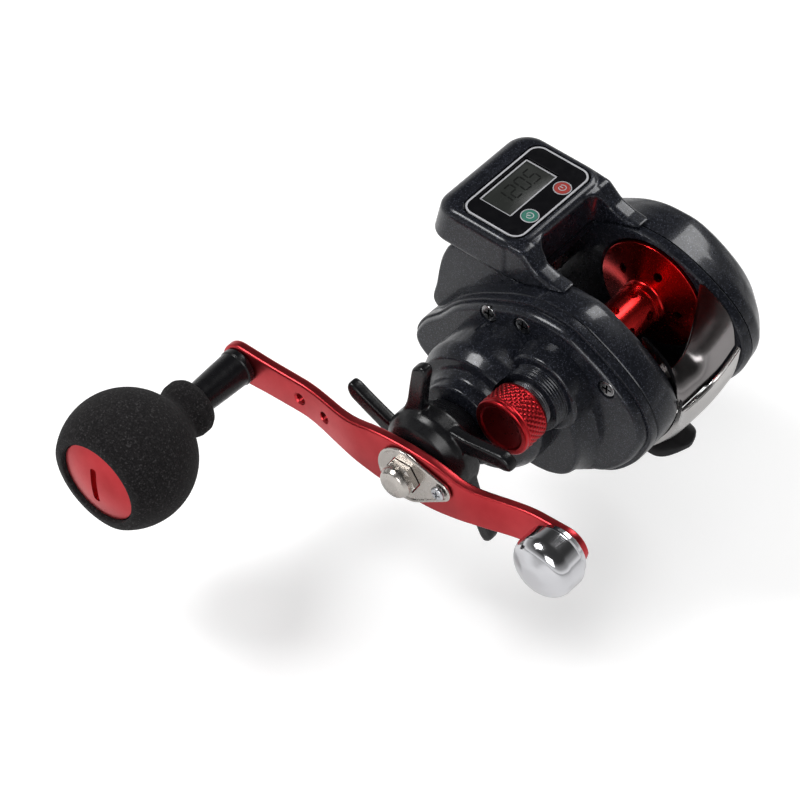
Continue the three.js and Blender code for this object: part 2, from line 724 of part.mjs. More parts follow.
// Handle side cover: base that matches the plate, gear boss with its tower, and the neck of the cap
function handleSideCover() {
  const { crownDepth, crownInset, wall, bossRadius, towerRadius, towerEdge } = cover;
  const crownShares = [[0, 1], [0.28, 0.5], [1, 0.1]];
  const crown = crownShares.map(([along, inset]) => [coverFace + along * crownDepth, inset * crownInset]);
  const base = outlineLoft([...crown, [coverFrom, 0]]);
  const boss = onAxis(turned([
    [coverInner, bossRadius], ...eased(bossEnd, bossRadius, cover.bossRound, cover.bossInset),
    [towerEnd + towerEdge, towerRadius], [towerEnd, towerRadius - towerEdge]]), driveAxis);
  const capRadius = cap.radius + runGap + gap;
  const capRoom = rod(capRadius, collarEnd, towerEnd - overrun, sides.wheel);
  const collar = turned([
    [coverInner, cover.collarBase],
    [collarStep + cover.collarRound, cover.collarBase - cover.collarInset / 4],
    [collarStep, cover.collarBase - cover.collarInset], [collarStep, cover.collar],
    [collarEnd + cover.collarEdge, cover.collar], [collarEnd, cover.collar - cover.collarEdge],
    [collarEnd, cover.neck], [neckEnd, cover.neck]]);
  const outer = join(cut(join(base, boss, coverSkirt()), capRoom), collar);
  const room = outlineLoft([
    [coverFace + wall, wall + crownInset * 0.6], [coverFace + crownDepth, wall + crownInset * 0.1],
    [coverFrom + overrun, wall]]);
  const gearRoom = cut(
    onAxis(rod(bossRadius - wall - gap, oneWayFrom, coverFrom + overrun, sides.wheel), driveAxis),
    rod(capRadius + wall, bossEnd, collarEnd + wall, sides.wheel));
  const screwCuts = sideScrews.flatMap(([, axis]) => [
    onAxis(rod(screw.shank + gap, coverFace - overrun, coverFrom + overrun), axis),
    onAxis(rod(screw.head + gap, coverFace - overrun, coverFace + screw.headHeight, sides.bore), axis)]);
  return cut(outer, room, gearRoom,
    rod(pinionTip + runGap, pinionTo - clutch.travel - overrun, coverFrom + overrun, sides.bore),
    rod(spool.shaft + runGap, neckEnd, coverFrom, sides.bore),
    rod(spoolBearing.outer + gap, neckEnd - overrun, seatFrom, sides.bore),
    onAxis(rod(driveTrain.oneWayRadius + gap, oneWayTo - gap, oneWayFrom + overrun, sides.bore), driveAxis),
    onAxis(rod(driveTrain.sleeve + runGap, towerEnd - overrun, oneWayFrom, sides.bore), driveAxis),
    ...screwCuts);
}

// Recessed screw with a cross in its head
function sideScrew() {
  const top = coverFace + gap;
  const arms = screw.head * 0.7;
  const head = rod(screw.head, top, coverFace + screw.headHeight - gap / 2, sides.bore);
  const shank = rod(screw.shank, coverFace + screw.headHeight - gap, coverFace + screw.length);
  const bar = prism(rectangle(-arms, arms, -screw.slot / 2, screw.slot / 2), top - overrun, top + gap);
  return cut(join(head, shank), bar, bar.clone().rotateX(Math.PI / 2));
}

// Dome of the palm side: shares of its depth, going out, and drawn in at nose, tail, top and belly
const palmDomeShares = [
  [0, 0.06, 0.06, 0.06, 0.06], [0.3, 0.1, 0.1, 0.065, 0.1], [0.66, 0.24, 0.36, 0.09, 0.2],
  [0.88, 0.38, 0.6, 0.13, 0.34], [0.97, 0.46, 0.7, 0.22, 0.44], [1, 0.58, 0.82, 0.34, 0.56],
];

// Palm side cover: a domed shell with the seat of the spool bearing
function palmSideCover() {
  const dome = (from, wall) => outlineLoft(palmDomeShares.map(([along, nose, tail, top, belly]) => {
    const drawn = { nose, tail, top, belly };
    for (const end of Object.keys(drawn)) drawn[end] = drawn[end] * palm.depth + wall;
    return [from + (palmTo - wall - from) * along, drawn];
  }));
  const boss = rod(spoolBearing.outer + gap + palm.boss, palmFrom + gap, palmFloor + bite, sides.bore);
  const clipEnd = palmFloor - palm.wall - gap;
  const clipRoom = onAxis(rod(dial.clip + runGap, clipEnd, palmFloor, sides.bore), dialAxis);
  return cut(join(cut(dome(palmFrom, 0), dome(palmFrom - overrun, palm.wall)), cut(boss, clipRoom)),
    rod(spoolBearing.outer + gap, palmFrom - overrun, palmFrom + bearing.width + gap * 2, sides.bore),
    rod(spool.shaft + runGap, palmFrom, palmFloor, sides.bore),
    onAxis(rod(dial.stem + runGap, palmFloor - overrun, palmTo + overrun, sides.bore), dialAxis));
}

// A circle whose edge dips between its flutes
function scalloped(radius, depth, flutes) {
  return Array.from({ length: flutes * 2 }, (_, i) => {
    const angle = (Math.PI * i) / flutes;
    const reach = radius - (i % 2 ? depth : 0);
    return new THREE.Vector2(reach * Math.cos(angle), reach * Math.sin(angle));
  });
}

function brakeDial() {
  const from = palmTo + gap;
  const to = from + dial.length;
  const rim = prism(scalloped(dial.radius, dial.flute, dial.flutes), from, to - dial.edge * 0.8);
  const crown = turned([[to - dial.edge, dial.radius - dial.edge / 2], [to, dial.radius - dial.edge * 1.6]]);
  const stem = rod(dial.stem, palmFloor - palm.wall, from + bite);
  const clip = rod(dial.clip, palmFloor - palm.wall, palmFloor - gap, sides.bore);
  return join(rim, crown, stem, clip);
}

function brakeMagnets() {
  const inner = spoolBearing.outer + gap * 2 + palm.boss;
  return tube(magnets.outer, inner, palmFrom + gap, palmFrom + gap + magnets.thickness);
}

// The band of the thumb bar or the rear cover, skinned across X between an upper and a lower edge
function band(topAt, lowAt, bulgeAt, thickness) {
  const rings = Array.from({ length: thumb.acrossSteps + 1 }, (_, i) => {
    const x = -thumb.half + (2 * thumb.half * i) / thumb.acrossSteps;
    const out = Math.abs(x / thumb.half);
    const rise = out * out * Math.sqrt(out);
    const top = topAt(rise);
    const low = lowAt(rise);
    const along = low.clone().sub(top).normalize();
    const away = new THREE.Vector2(along.y, -along.x);
    const outer = Array.from({ length: thumb.downSteps + 1 }, (_unused, k) => {
      const share = k / thumb.downSteps;
      return top.clone().lerp(low, share).addScaledVector(away, bulgeAt(rise) * Math.sin(Math.PI * share));
    });
    const inner = outer.map((p) => p.clone().addScaledVector(away, -thickness)).toReversed();
    return ringAt(x, [...outer, ...inner]);
  });
  return lofted(rings);
}

const between = (mid, side) => (rise) => new THREE.Vector2(...mid).lerp(new THREE.Vector2(...side), rise);

function thumbBar() {
  const bar = band(between(thumb.midTop, thumb.sideTop), between(midLow, sideLow),
    (rise) => lerpOf(thumb.bulge, thumb.sideBulge, rise), thumb.thickness);
  const [halfWidth, halfHeight] = [thumb.stubWidth / 2, thumb.stubHeight / 2];
  const outline = softRectangle(-halfWidth, halfWidth, -halfHeight, halfHeight, thumb.stubCorner);
  return join(bar, onAxis(prism(outline, pocketFloor - gap, -thumb.half + thumb.thickness), stubAxis));
}

function rearCoverShell() {
  const raise = ([y, z]) => [y - rearCover.proud, z + rearCover.lap];
  return band(between(raise(midLow), raise(sideLow)), between(rearLow, rearLow),
    () => rearCover.bulge, rearCover.thickness);
}

// Cam plate in the pocket: the thumb bar's stub pushes it down round the pinion
function clutchCam() {
  const to = pocketFloor - gap * 2;
  const from = to - cam.thickness;
  const slotHalf = cam.half - cam.rim;
  const slotLow = clutch.noseRadius + runGap * 2;
  const ring = prism(softRectangle(-cam.half, cam.half, -cam.low, cam.high, cam.corner), from, to);
  const tail = prism(rectangle(stubAxis.x - thumb.stubWidth / 2, -cam.half + bite,
    stubAxis.y - thumb.stubHeight / 2, stubAxis.y + cam.tailRise), from, to);
  const outline = softRectangle(-slotHalf, slotHalf, -slotLow, slotLow + thumb.travel, cam.corner);
  const slot = prism(outline, from - overrun, to + overrun);
  return cut(join(ring, tail), slot);
}

function clutchYoke() {
  const to = throatFrom - gap;
  const from = to - yoke.width;
  const ends = Object.values(yokeSides);
  const eyes = ends.map((side) => onAxis(prism(circle(spoolAxis, yoke.eye), from, to), onYoke(side)));
  const beam = prism(softRectangle(-yoke.span, yoke.span, -yoke.half, yoke.half, yoke.corner), from, to);
  const holes = ends.map((side) =>
    onAxis(rod(yoke.post + runGap, from - overrun, to + overrun), onYoke(side)));
  return cut(join(beam.rotateX(radians(drive.direction + 90)), ...eyes),
    rod(clutch.throat + runGap, from - overrun, to + overrun, sides.bore), ...holes);
}

const yokePost = () => rod(yoke.post, pocketFloor + body.gearWall / 2 - gap, throatTo - clutch.travel - gap);

// Pinion: nose with the cross slot, throat of the yoke, then the teeth
function pinionGear() {
  const { noseRadius, throat, pinRadius, slot } = clutch;
  const shank = turned([
    [teethFrom - bite, noseRadius], [throatTo, noseRadius], [throatTo, throat], [throatFrom, throat],
    [throatFrom, noseRadius], [pinionFrom, noseRadius]], sides.bore);
  const firstTooth = radians(drive.direction) + Math.PI / drive.pinionTeeth;
  const outline = gearOutline(drive.pinionTeeth, drive.module, drive.shiftShare, firstTooth);
  const slotHalf = pinRadius + gap;
  const crossSlot = prism(rectangle(-noseRadius - overrun, noseRadius + overrun, -slotHalf, slotHalf),
    pinionFrom - slot, pinionFrom + overrun);
  return cut(join(shank, prism(outline, pinionTo, teethFrom)),
    rod(pinion.bore, pinionTo - overrun, pinionFrom + overrun, sides.bore), crossSlot);
}

const ballBearing = (size, from, to) => tube(size.outer, size.inner, from, to, sides.bore);

// Spool: ported hub, coned flanges, rims and dished outer sides
function spoolBody() {
  const { radius, half, rim, rimLip, rimWall, hub, hubHalf, web, sleeve } = spool;
  const rightHalf = [
    [hubHalf, hub], [half - rim, radius - rimWall * 0.7], [half - rim + rimLip, radius], [half, radius],
    [half, radius - rimWall], [half - rim + web * 0.6, radius - rimWall - web],
    [hubHalf + web + rimLip, hub - web / 2], [hubHalf + web, sleeve], [half - rim * 0.4, sleeve]];
  const leftHalf = rightHalf.toReversed().map(([x, r]) => [-x, r]);
  const { portRadius, ports, portSides } = spool;
  const bores = Array.from({ length: ports }, (_, i) => {
    const turn = (2 * Math.PI * i) / ports;
    const hubPort = uprightRod(portRadius, 0, 0, (sleeve + hub) / 2, hub + overrun, portSides);
    const flangePort = rod(portRadius, -half - overrun, half + overrun, portSides);
    flangePort.translate(0, radius * spool.portShare, 0).rotateX(turn + Math.PI / ports);
    return [hubPort.rotateX(turn), flangePort];
  }).flat();
  return cut(turned([...leftHalf, ...rightHalf]), ...bores,
    rod(spool.shaft + gap, -half - overrun, half + overrun, sides.bore));
}

// Spool shaft with the pin that the pinion's slot takes hold of
function spoolShaft() {
  const pinAt = pinionFrom - clutch.pinRadius - gap;
  const pin = new THREE.CylinderGeometry(clutch.pinRadius, clutch.pinRadius, clutch.pinReach * 2, sides.pin);
  const palmEnd = palmFrom + bearing.width + gap * 2;
  return join(rod(spool.shaft, shaftEnd, palmEnd, sides.bore), pin.translate(pinAt, 0, 0));
}

// Cast control cap: fluted grip between smooth rims, with a dished front
function castCap() {
  const { radius, rim, rimInset, coreInset, chamfer, lip } = cap;
  const fluted = prism(scalloped(radius, cap.flute, cap.flutes), capTo + rim, capFrom - lip);
  const [rimEnd, lipEnd] = [capTo + rim + rimInset, capFrom - lip - rimInset];
  const smooth = turned([
    [capTo, radius - chamfer], [capTo + chamfer, radius - rimInset], [rimEnd, radius - rimInset],
    [rimEnd, radius - coreInset], [lipEnd, radius - coreInset], [lipEnd, radius], [capFrom, radius]],
  sides.disc);
  return cut(join(fluted, smooth),
    rod(cover.neck + gap, capTo + cap.front, capFrom + overrun, sides.disc),
    turned([[capTo - overrun, cap.dishRadius + overrun], [capTo + cap.dish, cap.dishRadius]], sides.disc));
}

const capShim = () => rod(cover.neck - gap, capTo + cap.front + gap, shaftEnd - gap, sides.disc);

// Drive shaft with the shoulder that stops the gears
function driveShaft() {
  const { shaft, chamfer, shoulder } = driveTrain;
  const [shoulderTo, shoulderFrom] = [windFrom + gap, pocketFloor - gap];
  return turned([
    [hexEnd, shaft - chamfer], [hexEnd + chamfer, shaft], [shoulderTo, shaft], [shoulderTo, shoulder],
    [shoulderFrom, shoulder], [shoulderFrom, shaft], [recessFloor - gap, shaft]], sides.bore);
}

const shaftBore = (from, to) => rod(driveTrain.shaft + gap, from, to, sides.bore);

// Drive gear with the dished side that takes the drag washer
function driveGear() {
  const outline = gearOutline(drive.teeth, drive.module, -drive.shiftShare, radians(drive.direction + 180));
  return cut(prism(outline, gearTo, gearFrom),
    rod(driveTrain.recess, gearTo - overrun, gearFrom - driveTrain.web, sides.wheel),
    shaftBore(gearTo, gearFrom + overrun));
}

function windGear(teeth, firstTooth, bore) {
  const outline = gearOutline(teeth, wind.module, 0, firstTooth);
  return cut(prism(outline, windTo, windFrom), rod(bore, windTo - overrun, windFrom + overrun, sides.bore));
}

// Ratchet that kicks the clutch back in: saw teeth round a ring
function ratchetWheel() {
  const { ratchetRadius, ratchetTeeth, ratchetWidth } = driveTrain;
  const from = gearFrom + gap;
  const to = from + ratchetWidth;
  const points = Array.from({ length: ratchetTeeth }, (_, i) => {
    const start = (2 * Math.PI * i) / ratchetTeeth;
    const end = (2 * Math.PI * (i + 0.85)) / ratchetTeeth;
    return [[ratchetRadius, start], [ratchetRadius * 0.82, end]];
  }).flat().map(([r, a]) => new THREE.Vector2(r * Math.cos(a), r * Math.sin(a)));
  return cut(prism(points, from, to), shaftBore(from - overrun, to + overrun));
}

// Drag stack: washer, pressure plate and spring washer, on the shaft inside the gear's dish
const dragWasher = () =>
  tube(driveTrain.recess - gap, driveTrain.shaft + gap * 2, washerTo, washerFrom, sides.wheel);
function pressurePlate() {
  const wide = driveTrain.recess - gap;
  const rim = lerpOf(driveTrain.springRadius, wide, 0.2);
  const outline = [[plateTo, rim], [plateTo + driveTrain.plate * 0.4, wide], [plateFrom, wide]];
  return cut(turned(outline), shaftBore(plateTo - overrun, plateFrom + overrun));
}
function springWasher() {
  const { shaft, chamfer, spring, springRadius, sleeve } = driveTrain;
  const outline = [
    [springTo, sleeve], [springFrom - gap * 2, springRadius], [springFrom, springRadius],
    [springFrom, springRadius - chamfer], [springFrom - spring * 0.6, shaft + gap]];
  return cut(turned(outline, sides.bore), shaftBore(springTo - overrun, springFrom + overrun));
}
const driveSleeve = () =>
  tube(driveTrain.sleeve, driveTrain.shaft + gap, starFrom + gap, sleeveFrom, sides.bore);
const oneWayBearing = () => ballBearing(
  { inner: driveTrain.sleeve + gap, outer: driveTrain.oneWayRadius }, oneWayTo, oneWayFrom);

// Worm with two crossing helical grooves
function wormShaft() {
  const pitch = (2 * worm.half) / worm.turns;
  const groove = (hand) => {
    const count = Math.round(worm.turns * worm.steps);
    const rings = Array.from({ length: count + 1 }, (_, i) => {
      const angle = (hand * 2 * Math.PI * i) / worm.steps;
      const x = -worm.half + (pitch * i) / worm.steps;
      const half = worm.grooveWidth / 2;
      const outside = worm.radius + overrun;
      return [[-half, worm.root], [half, worm.root], [half, outside], [-half, outside]].map(
        ([side, r]) => new THREE.Vector3(x + side, r * Math.cos(angle), r * Math.sin(angle)));
    });
    return lofted(rings);
  };
  const lands = worm.half - gap;
  const blank = turned([
    [windTo - gap, worm.journal], [-lands, worm.journal], [-lands, worm.radius],
    [lands, worm.radius], [lands, worm.journal], [wormEnd, worm.journal]], worm.steps);
  return cut(blank, groove(1), groove(-1));
}

// Line guide: carriage on the worm and the guide bar, and the tall eye in front
function lineGuide() {
  const { half, wall } = guide;
  const wormRoom = worm.radius + runGap;
  const barRoom = guide.barRadius + runGap;
  const eyeLow = eyeAxis.y - guide.eyeTall - guide.eyeWall / 2;
  const point = (y, z) => new THREE.Vector2(y, z);
  const carriage = [
    onAxis(prism(circle(spoolAxis, wormRoom + wall), -half, half), wormAxis),
    onAxis(prism(circle(spoolAxis, barRoom + wall), -half, half), barAxis),
    prism([
      point(wormAxis.x - wall, wormAxis.y), point(barAxis.x - wall, barAxis.y),
      point(barAxis.x + wall, barAxis.y), point(wormAxis.x + wall * 2, wormAxis.y)], -half, half),
    prism([
      point(wormAxis.x + wall, wormAxis.y + wormRoom), point(wormAxis.x + wormRoom, wormAxis.y),
      point(eyeAxis.x + guide.eyeDepth / 2, eyeLow), point(eyeAxis.x - guide.eyeDepth / 2, eyeLow)],
    -half * 0.7, half * 0.7),
  ];
  const eye = (grow, depth) => {
    const wide = guide.eyeHalf + grow;
    const tall = guide.eyeTall + grow;
    const outline = softRectangle(-wide, wide, -tall, tall, guide.eyeHalf * 0.8 + grow);
    return slab(outline, -depth / 2, depth / 2).rotateX(Math.PI / 2).translate(0, eyeAxis.x, eyeAxis.y);
  };
  const through = (radius, axis) => onAxis(rod(radius, -half - overrun, half + overrun, sides.bore), axis);
  return cut(join(...carriage, eye(guide.eyeWall, guide.eyeDepth)),
    eye(0, guide.eyeDepth + overrun * 2), through(wormRoom, wormAxis), through(barRoom, barAxis),
    pawlRod(guide.pawl + gap, worm.radius, wormRoom + wall + overrun));
}

// A rod that stands behind the worm, square to it
function pawlRod(radius, from, to) {
  const made = new THREE.CylinderGeometry(radius, radius, to - from, sides.bore);
  return made.translate(0, wormAxis.x - (from + to) / 2, wormAxis.y);
}
function lineGuidePawl() {
  const seat = worm.radius + runGap;
  const rim = seat + guide.wall + gap;
  const head = pawlRod(guide.pawl + guide.pawlRim, rim, rim + guide.pawlHead);
  return join(pawlRod(guide.pawl, seat, rim + bite), head);
}

const guideBar = () => rod(guide.barRadius, -wormEnd + gap, wormEnd - gap, sides.bore);

// Counter housing: a rounded box with two legs that run back over the rings
function counterHousing() {
  const { half, rear, front, flare, topRise, underRise, corner, edge, underEdge, wall } = counter;
  const layer = (z, inset, forward = 0) => softRectangle(
    -half + inset, half - inset, rear + inset, front + forward - inset, corner - inset * 0.6)
    .map((p) => new THREE.Vector3(p.x, p.y, z));
  const box = lofted([
    layer(underRise, underEdge, flare), layer(underRise + underEdge * 2, 0, flare),
    layer(topRise - edge, 0, edge * 0.6), layer(topRise - edge * 0.3, edge * 0.3), layer(topRise, edge)]);
  const { legTip, legEdge } = counter;
  const legTop = topRise - edge * 0.3;
  const legRise = topRise - counter.legDrop;
  const legOutline = [
    [legTip, body.top - counter.legLap], [rear + corner, underRise], [rear + corner, legTop], [rear, legTop],
    [legTip + legEdge, legRise], [legTip, legRise - legEdge]].map(([y, z]) => new THREE.Vector2(y, z));
  const legs = [-body.openingHalf - counter.legWidth, body.openingHalf].map((from) =>
    prism(legOutline, from, from + counter.legWidth));
  const room = slab(softRectangle(-half + wall, half - wall, rear + wall, front - wall, corner - wall),
    underRise - overrun, roofUnder);
  const plates = [[coverFace, -body.openingHalf + gap], [body.openingHalf - gap, palmTo]].map(([from, to]) =>
    outlineLoft([[from, -gap], [to, -gap]]));
  const panelRoom = slab(softRectangle(
    -panel.half - gap, panel.half + gap, panel.rear - gap, panel.front + gap, panel.corner + gap),
  panelUnder - gap, topRise + overrun);
  const lcdOutline = rectangle(-lcd.half - gap, lcd.half + gap, lcd.rear - gap, lcd.front + gap);
  const lcdRoom = slab(lcdOutline, roofUnder - overrun, topRise);
  return cut(join(box, ...legs), room, ...plates, panelRoom, lcdRoom, ...buttonHoles(roofUnder, topRise));
}

const buttonHoles = (from, to) => Object.values(buttonSides).map((x) => uprightRod(
  button.radius + gap, x, button.forward, from - overrun, to + overrun, sides.bore));

function displayPanel() {
  const outline = softRectangle(-panel.half, panel.half, panel.rear, panel.front, panel.corner);
  const plate = slab(outline, panelUnder, counter.topRise);
  const window = slab(rectangle(-lcdWindow.half, lcdWindow.half, lcdWindow.rear, lcdWindow.front),
    panelUnder - overrun, counter.topRise + overrun);
  return cut(plate, window, ...buttonHoles(panelUnder, counter.topRise));
}

function lcdModule() {
  const top = panelUnder - gap;
  const base = slab(rectangle(-lcd.half, lcd.half, lcd.rear, lcd.front), top - lcd.thickness, top);
  const glass = slab(
    rectangle(-lcdWindow.half + gap, lcdWindow.half - gap, lcdWindow.rear + gap, lcdWindow.front - gap),
    top - bite, top + panel.thickness * 0.6);
  return join(base, glass);
}

function counterButton(x) {
  const { radius, forward, length, proud, flange } = button;
  const flangeTop = roofUnder - gap;
  return join(
    uprightRod(radius, x, forward, counter.topRise - length, counter.topRise + proud, sides.bore),
    uprightRod(radius + flange, x, forward, flangeTop - flange, flangeTop, sides.bore));
}

function circuitBoard() {
  const { half, rear, front, corner, wall } = counter;
  const fit = wall + gap;
  const top = counter.topRise - board.drop;
  const outline = softRectangle(-half + fit, half - fit, rear + fit, front - fit, corner - fit);
  return slab(outline, top - board.thickness, top);
}

function coinBattery() {
  const from = bridgeTop + gap * 2;
  return uprightRod(battery.radius, 0, battery.forward, from, from + battery.thickness, battery.sides);
}

function batteryDoor() {
  const { radius, forward, slot } = battery;
  const rim = radius + battery.doorWall;
  const door = uprightRod(rim, 0, forward, bridgeUnder, bridgeTop + gap, battery.sides);
  const coinSlot = rectangle(-radius * 0.6, radius * 0.6, forward - slot / 2, forward + slot / 2);
  return cut(door, slab(coinSlot, bridgeUnder - overrun, bridgeUnder + slot));
}

// Star drag: a domed hub with swept arms
const starArmShares = [
  [0.3, -0.07], [0.52, -0.03], [0.8, 0.035], [0.93, 0.07], [0.985, 0.06], [1, 0.015], [0.985, -0.04],
  [0.94, -0.09], [0.8, -0.135], [0.52, -0.21], [0.3, -0.29],
];
function starDrag() {
  const { hub, dome, taper, reach } = star;
  const centre = turned([
    [starEnd, hub * 0.62], [starEnd + dome * 0.4, hub * 0.82], [starEnd + dome, hub * 0.96],
    [starArmOuter, hub], [starArmInner, hub], [starFrom - taper, hub * 0.76], [starFrom, hub * 0.66]]);
  const outline = starArmShares.map(([along, across]) => new THREE.Vector2(along * reach, across * reach));
  const blade = prism(outline, starArmOuter, starArmInner);
  const arms = Array.from({ length: star.arms }, (_, i) =>
    blade.clone().rotateX(radians(star.phase + (360 * i) / star.arms)));
  return cut(join(centre, ...arms), shaftBore(starEnd - overrun, starFrom + overrun));
}

const tailPlace = heading(180 + retainer.turn).multiplyScalar(retainer.tail);

// Handle arm: a flat bar, widest at the nut, whose ends are set in towards the reel
const armSet = (s) => {
  const share = THREE.MathUtils.smoothstep(Math.abs(s), arm.bendFrom, arm.bendTo);
  return share * (s > 0 ? arm.knobSet : arm.weightSet);
};
const armWidthShares = [
  [-1, 0.66], [-0.7, 0.62], [-0.42, 0.66], [-0.2, 0.94], [0, 1], [0.16, 0.95], [0.36, 0.68], [0.6, 0.61],
  [0.85, 0.62], [1, 0.68],
];
const armEndShares = [[0.4, 0.92], [0.75, 0.66], [0.96, 0.28]];
function handleArm() {
  const { chamfer } = arm;
  const widths = new THREE.SplineCurve(armWidthShares.map(([along, wide]) => new THREE.Vector2(
    along * (along > 0 ? arm.knobReach : arm.weightReach), wide * arm.hubHalf))).getPoints(11);
  const [first, last] = [widths[0], widths.at(-1)];
  const stations = [
    ...armEndShares.toReversed().map(([out, wide]) => [first.x - out * first.y, wide * first.y]),
    ...widths.map((p) => [p.x, p.y]),
    ...armEndShares.map(([out, wide]) => [last.x + out * last.y, wide * last.y]),
  ];
  const section = ([s, wide]) => {
    const half = [
      [armOuter, wide - chamfer], [armOuter + chamfer, wide],
      [armInner - chamfer, wide], [armInner, wide - chamfer]];
    const other = half.toReversed().map(([x, w]) => [x, -w]);
    return [...half, ...other].map(([x, w]) => new THREE.Vector3(x + armSet(s), s, w));
  };
  const hole = (s, radius) =>
    rod(radius, armOuter - overrun, armInner + arm.weightSet + overrun).translate(0, s, 0);
  return cut(lofted(stations.map(section)),
    hole(0, driveTrain.shaft + gap),
    ...arm.holes.map((s) => hole(s, arm.holeRadius)),
    hole(arm.knobReach, knob.spindle + gap),
    hole(-arm.weightReach, weight.screw + gap),
    onAxis(rod(retainer.screw + gap, armOuter - overrun, armOuter + arm.thickness * 0.6), tailPlace));
}

function handleNut() {
  const domeShares = [[1, 0], [0.95, 0.4], [0.75, 0.72], [0.4, 0.94]];
  const dome = turned([
    ...domeShares.map(([along, across]) => [hexEnd - nut.dome * along, nut.domeRadius * across]),
    [hexEnd + bite, nut.domeRadius]], sides.disc);
  return cut(join(rod(nut.across, hexEnd, nutSeat, 6), dome), shaftBore(hexEnd - gap, nutSeat + overrun));
}

// Teardrop plate that keeps the nut from turning
function nutRetainer() {
  const { radius, tail, tailRadius } = retainer;
  const lean = Math.PI - Math.acos((radius - tailRadius) / tail);
  const points = [
    ...arc(spoolAxis, radius, -lean, lean, 12),
    ...arc(new THREE.Vector2(-tail, 0), tailRadius, lean, 2 * Math.PI - lean, 6)];
  return cut(prism(points, retainerTo, nutSeat).rotateX(radians(retainer.turn)),
    rod(nut.across + runGap, retainerTo - overrun, nutSeat + overrun, 6),
    onAxis(rod(retainer.screw + gap, retainerTo - overrun, nutSeat + overrun), tailPlace));
}

function retainerScrew() {
  const { screwHead, screwHeight } = retainer;
  const headTo = retainerTo - gap;
  const face = headTo - screwHeight;
  const shoulder = face + screwHeight / 3;
  const arms = screwHead * 0.7;
  const head = turned([[face, arms], [shoulder, screwHead], [headTo, screwHead]], sides.bore);
  const bar = prism(rectangle(-arms, arms, -screw.slot / 2, screw.slot / 2), face - overrun, shoulder);
  return cut(join(head, rod(retainer.screw, headTo - bite, armOuter + arm.thickness * 0.4)),
    bar, bar.clone().rotateX(Math.PI / 2));
}

// Counterweight: shares of its length and radius, going in from its domed face
const weightShares = [[0, 0], [0.02, 0.3], [0.076, 0.58], [0.167, 0.8], [0.273, 0.93], [0.38, 1]];
function counterweight() {
  const from = armOuter + arm.weightSet - gap;
  const to = from - weight.length;
  const { radius, base, neck } = weight;
  return cut(turned([
    ...weightShares.map(([along, across]) => [to + weight.length * along, radius * across]),
    [from - neck, radius], [from - neck * 0.67, lerpOf(base, radius, 0.36)], [from, base]], sides.disc),
  rod(weight.screw + gap, to + weight.length * 0.45, from + overrun, sides.bore));
}

function counterweightScrew() {
  const { screwHead, screwHeight } = weight;
  const headFrom = armInner + arm.weightSet + gap;
  const headTo = headFrom + screwHeight;
  const shoulder = lerpOf(headFrom, headTo, 0.6);
  const head = turned([[headFrom, screwHead], [shoulder, screwHead], [headTo, screwHead * 0.6]], sides.disc);
  const slot = prism(
    rectangle(-screwHead, screwHead, -screw.slot / 2, screw.slot / 2), shoulder, headTo + overrun);
  const shankEnd = armOuter + arm.weightSet - weight.length / 2;
  return cut(join(head, rod(weight.screw, shankEnd, headFrom + bite, sides.bore)), slot);
}

// Knob pieces, measured out from the arm's outer face at the knob
const knobFace = armOuter + arm.knobSet;
const knobAt = (out) => knobFace - out;
const knobProfile = (stations) => turned(stations.map(([out, r]) => [knobAt(out), r]).toReversed());

function knobSpindle() {
  const flangeFrom = armInner + arm.knobSet + gap;
  return join(rod(knob.spindle, knobAt(knob.coreEnd), flangeFrom + bite, sides.bore),
    rod(knob.spindle + knob.flange, flangeFrom, flangeFrom + knob.flangeLength, sides.bore));
}

function knobSleeve() {
  const { sleeve, sleeveRadius, sleeveTip, sleeveEdge, core, coreEnd } = knob;
  const outer = knobProfile([
    [gap, sleeveRadius - sleeveEdge], [gap + sleeveEdge, sleeveRadius],
    [sleeve * 0.4, sleeveRadius - sleeveEdge], [sleeve, sleeveTip], [sleeve, core], [coreEnd, core]]);
  return cut(outer, rod(knob.spindle + runGap, knobAt(coreEnd) - overrun, knobAt(0) + overrun, sides.bore),
    rod(knob.bearing + gap, knobAt(bearing.width + gap * 3), knobAt(0) + overrun, sides.bore));
}

const knobBearing = () => ballBearing(
  { inner: knob.spindle + gap, outer: knob.bearing }, knobAt(bearing.width + gap * 2), knobAt(gap * 2));

// Foam grip: a collar, a neck and a ball that is cut flat round the end cap
function knobGrip() {
  const { collar, collarAt, neck, neckAt, sleeve, capRadius, foamLip, lip } = knob;
  const reach = knob.capAt + lip;
  const from = Math.asin((neck + knob.neckBlend) / knob.ball);
  const to = Math.PI - Math.acos((reach - knob.ballAt) / knob.ball);
  const ball = Array.from({ length: knob.ballSteps + 1 }, (_, i) => {
    const angle = from + ((to - from) * i) / knob.ballSteps;
    return [knob.ballAt - knob.ball * Math.cos(angle), knob.ball * Math.sin(angle)];
  });
  return cut(knobProfile([
    [sleeve + gap, knob.sleeveTip + foamLip], [lerpOf(sleeve, collarAt, 0.25), collar * 0.84],
    [lerpOf(sleeve, collarAt, 0.6), collar * 0.97], [collarAt, collar],
    [lerpOf(collarAt, neckAt, 0.55), collar * 0.95], [neckAt, neck], ...ball,
    [reach, capRadius + gap + foamLip], [reach - lip / 2, capRadius + gap]]),
  rod(knob.core + gap, knobAt(reach) - overrun, knobAt(sleeve) + overrun, sides.bore),
  rod(capRadius + gap, knobAt(reach) - overrun, knobAt(knob.capAt - gap), sides.wheel));
}

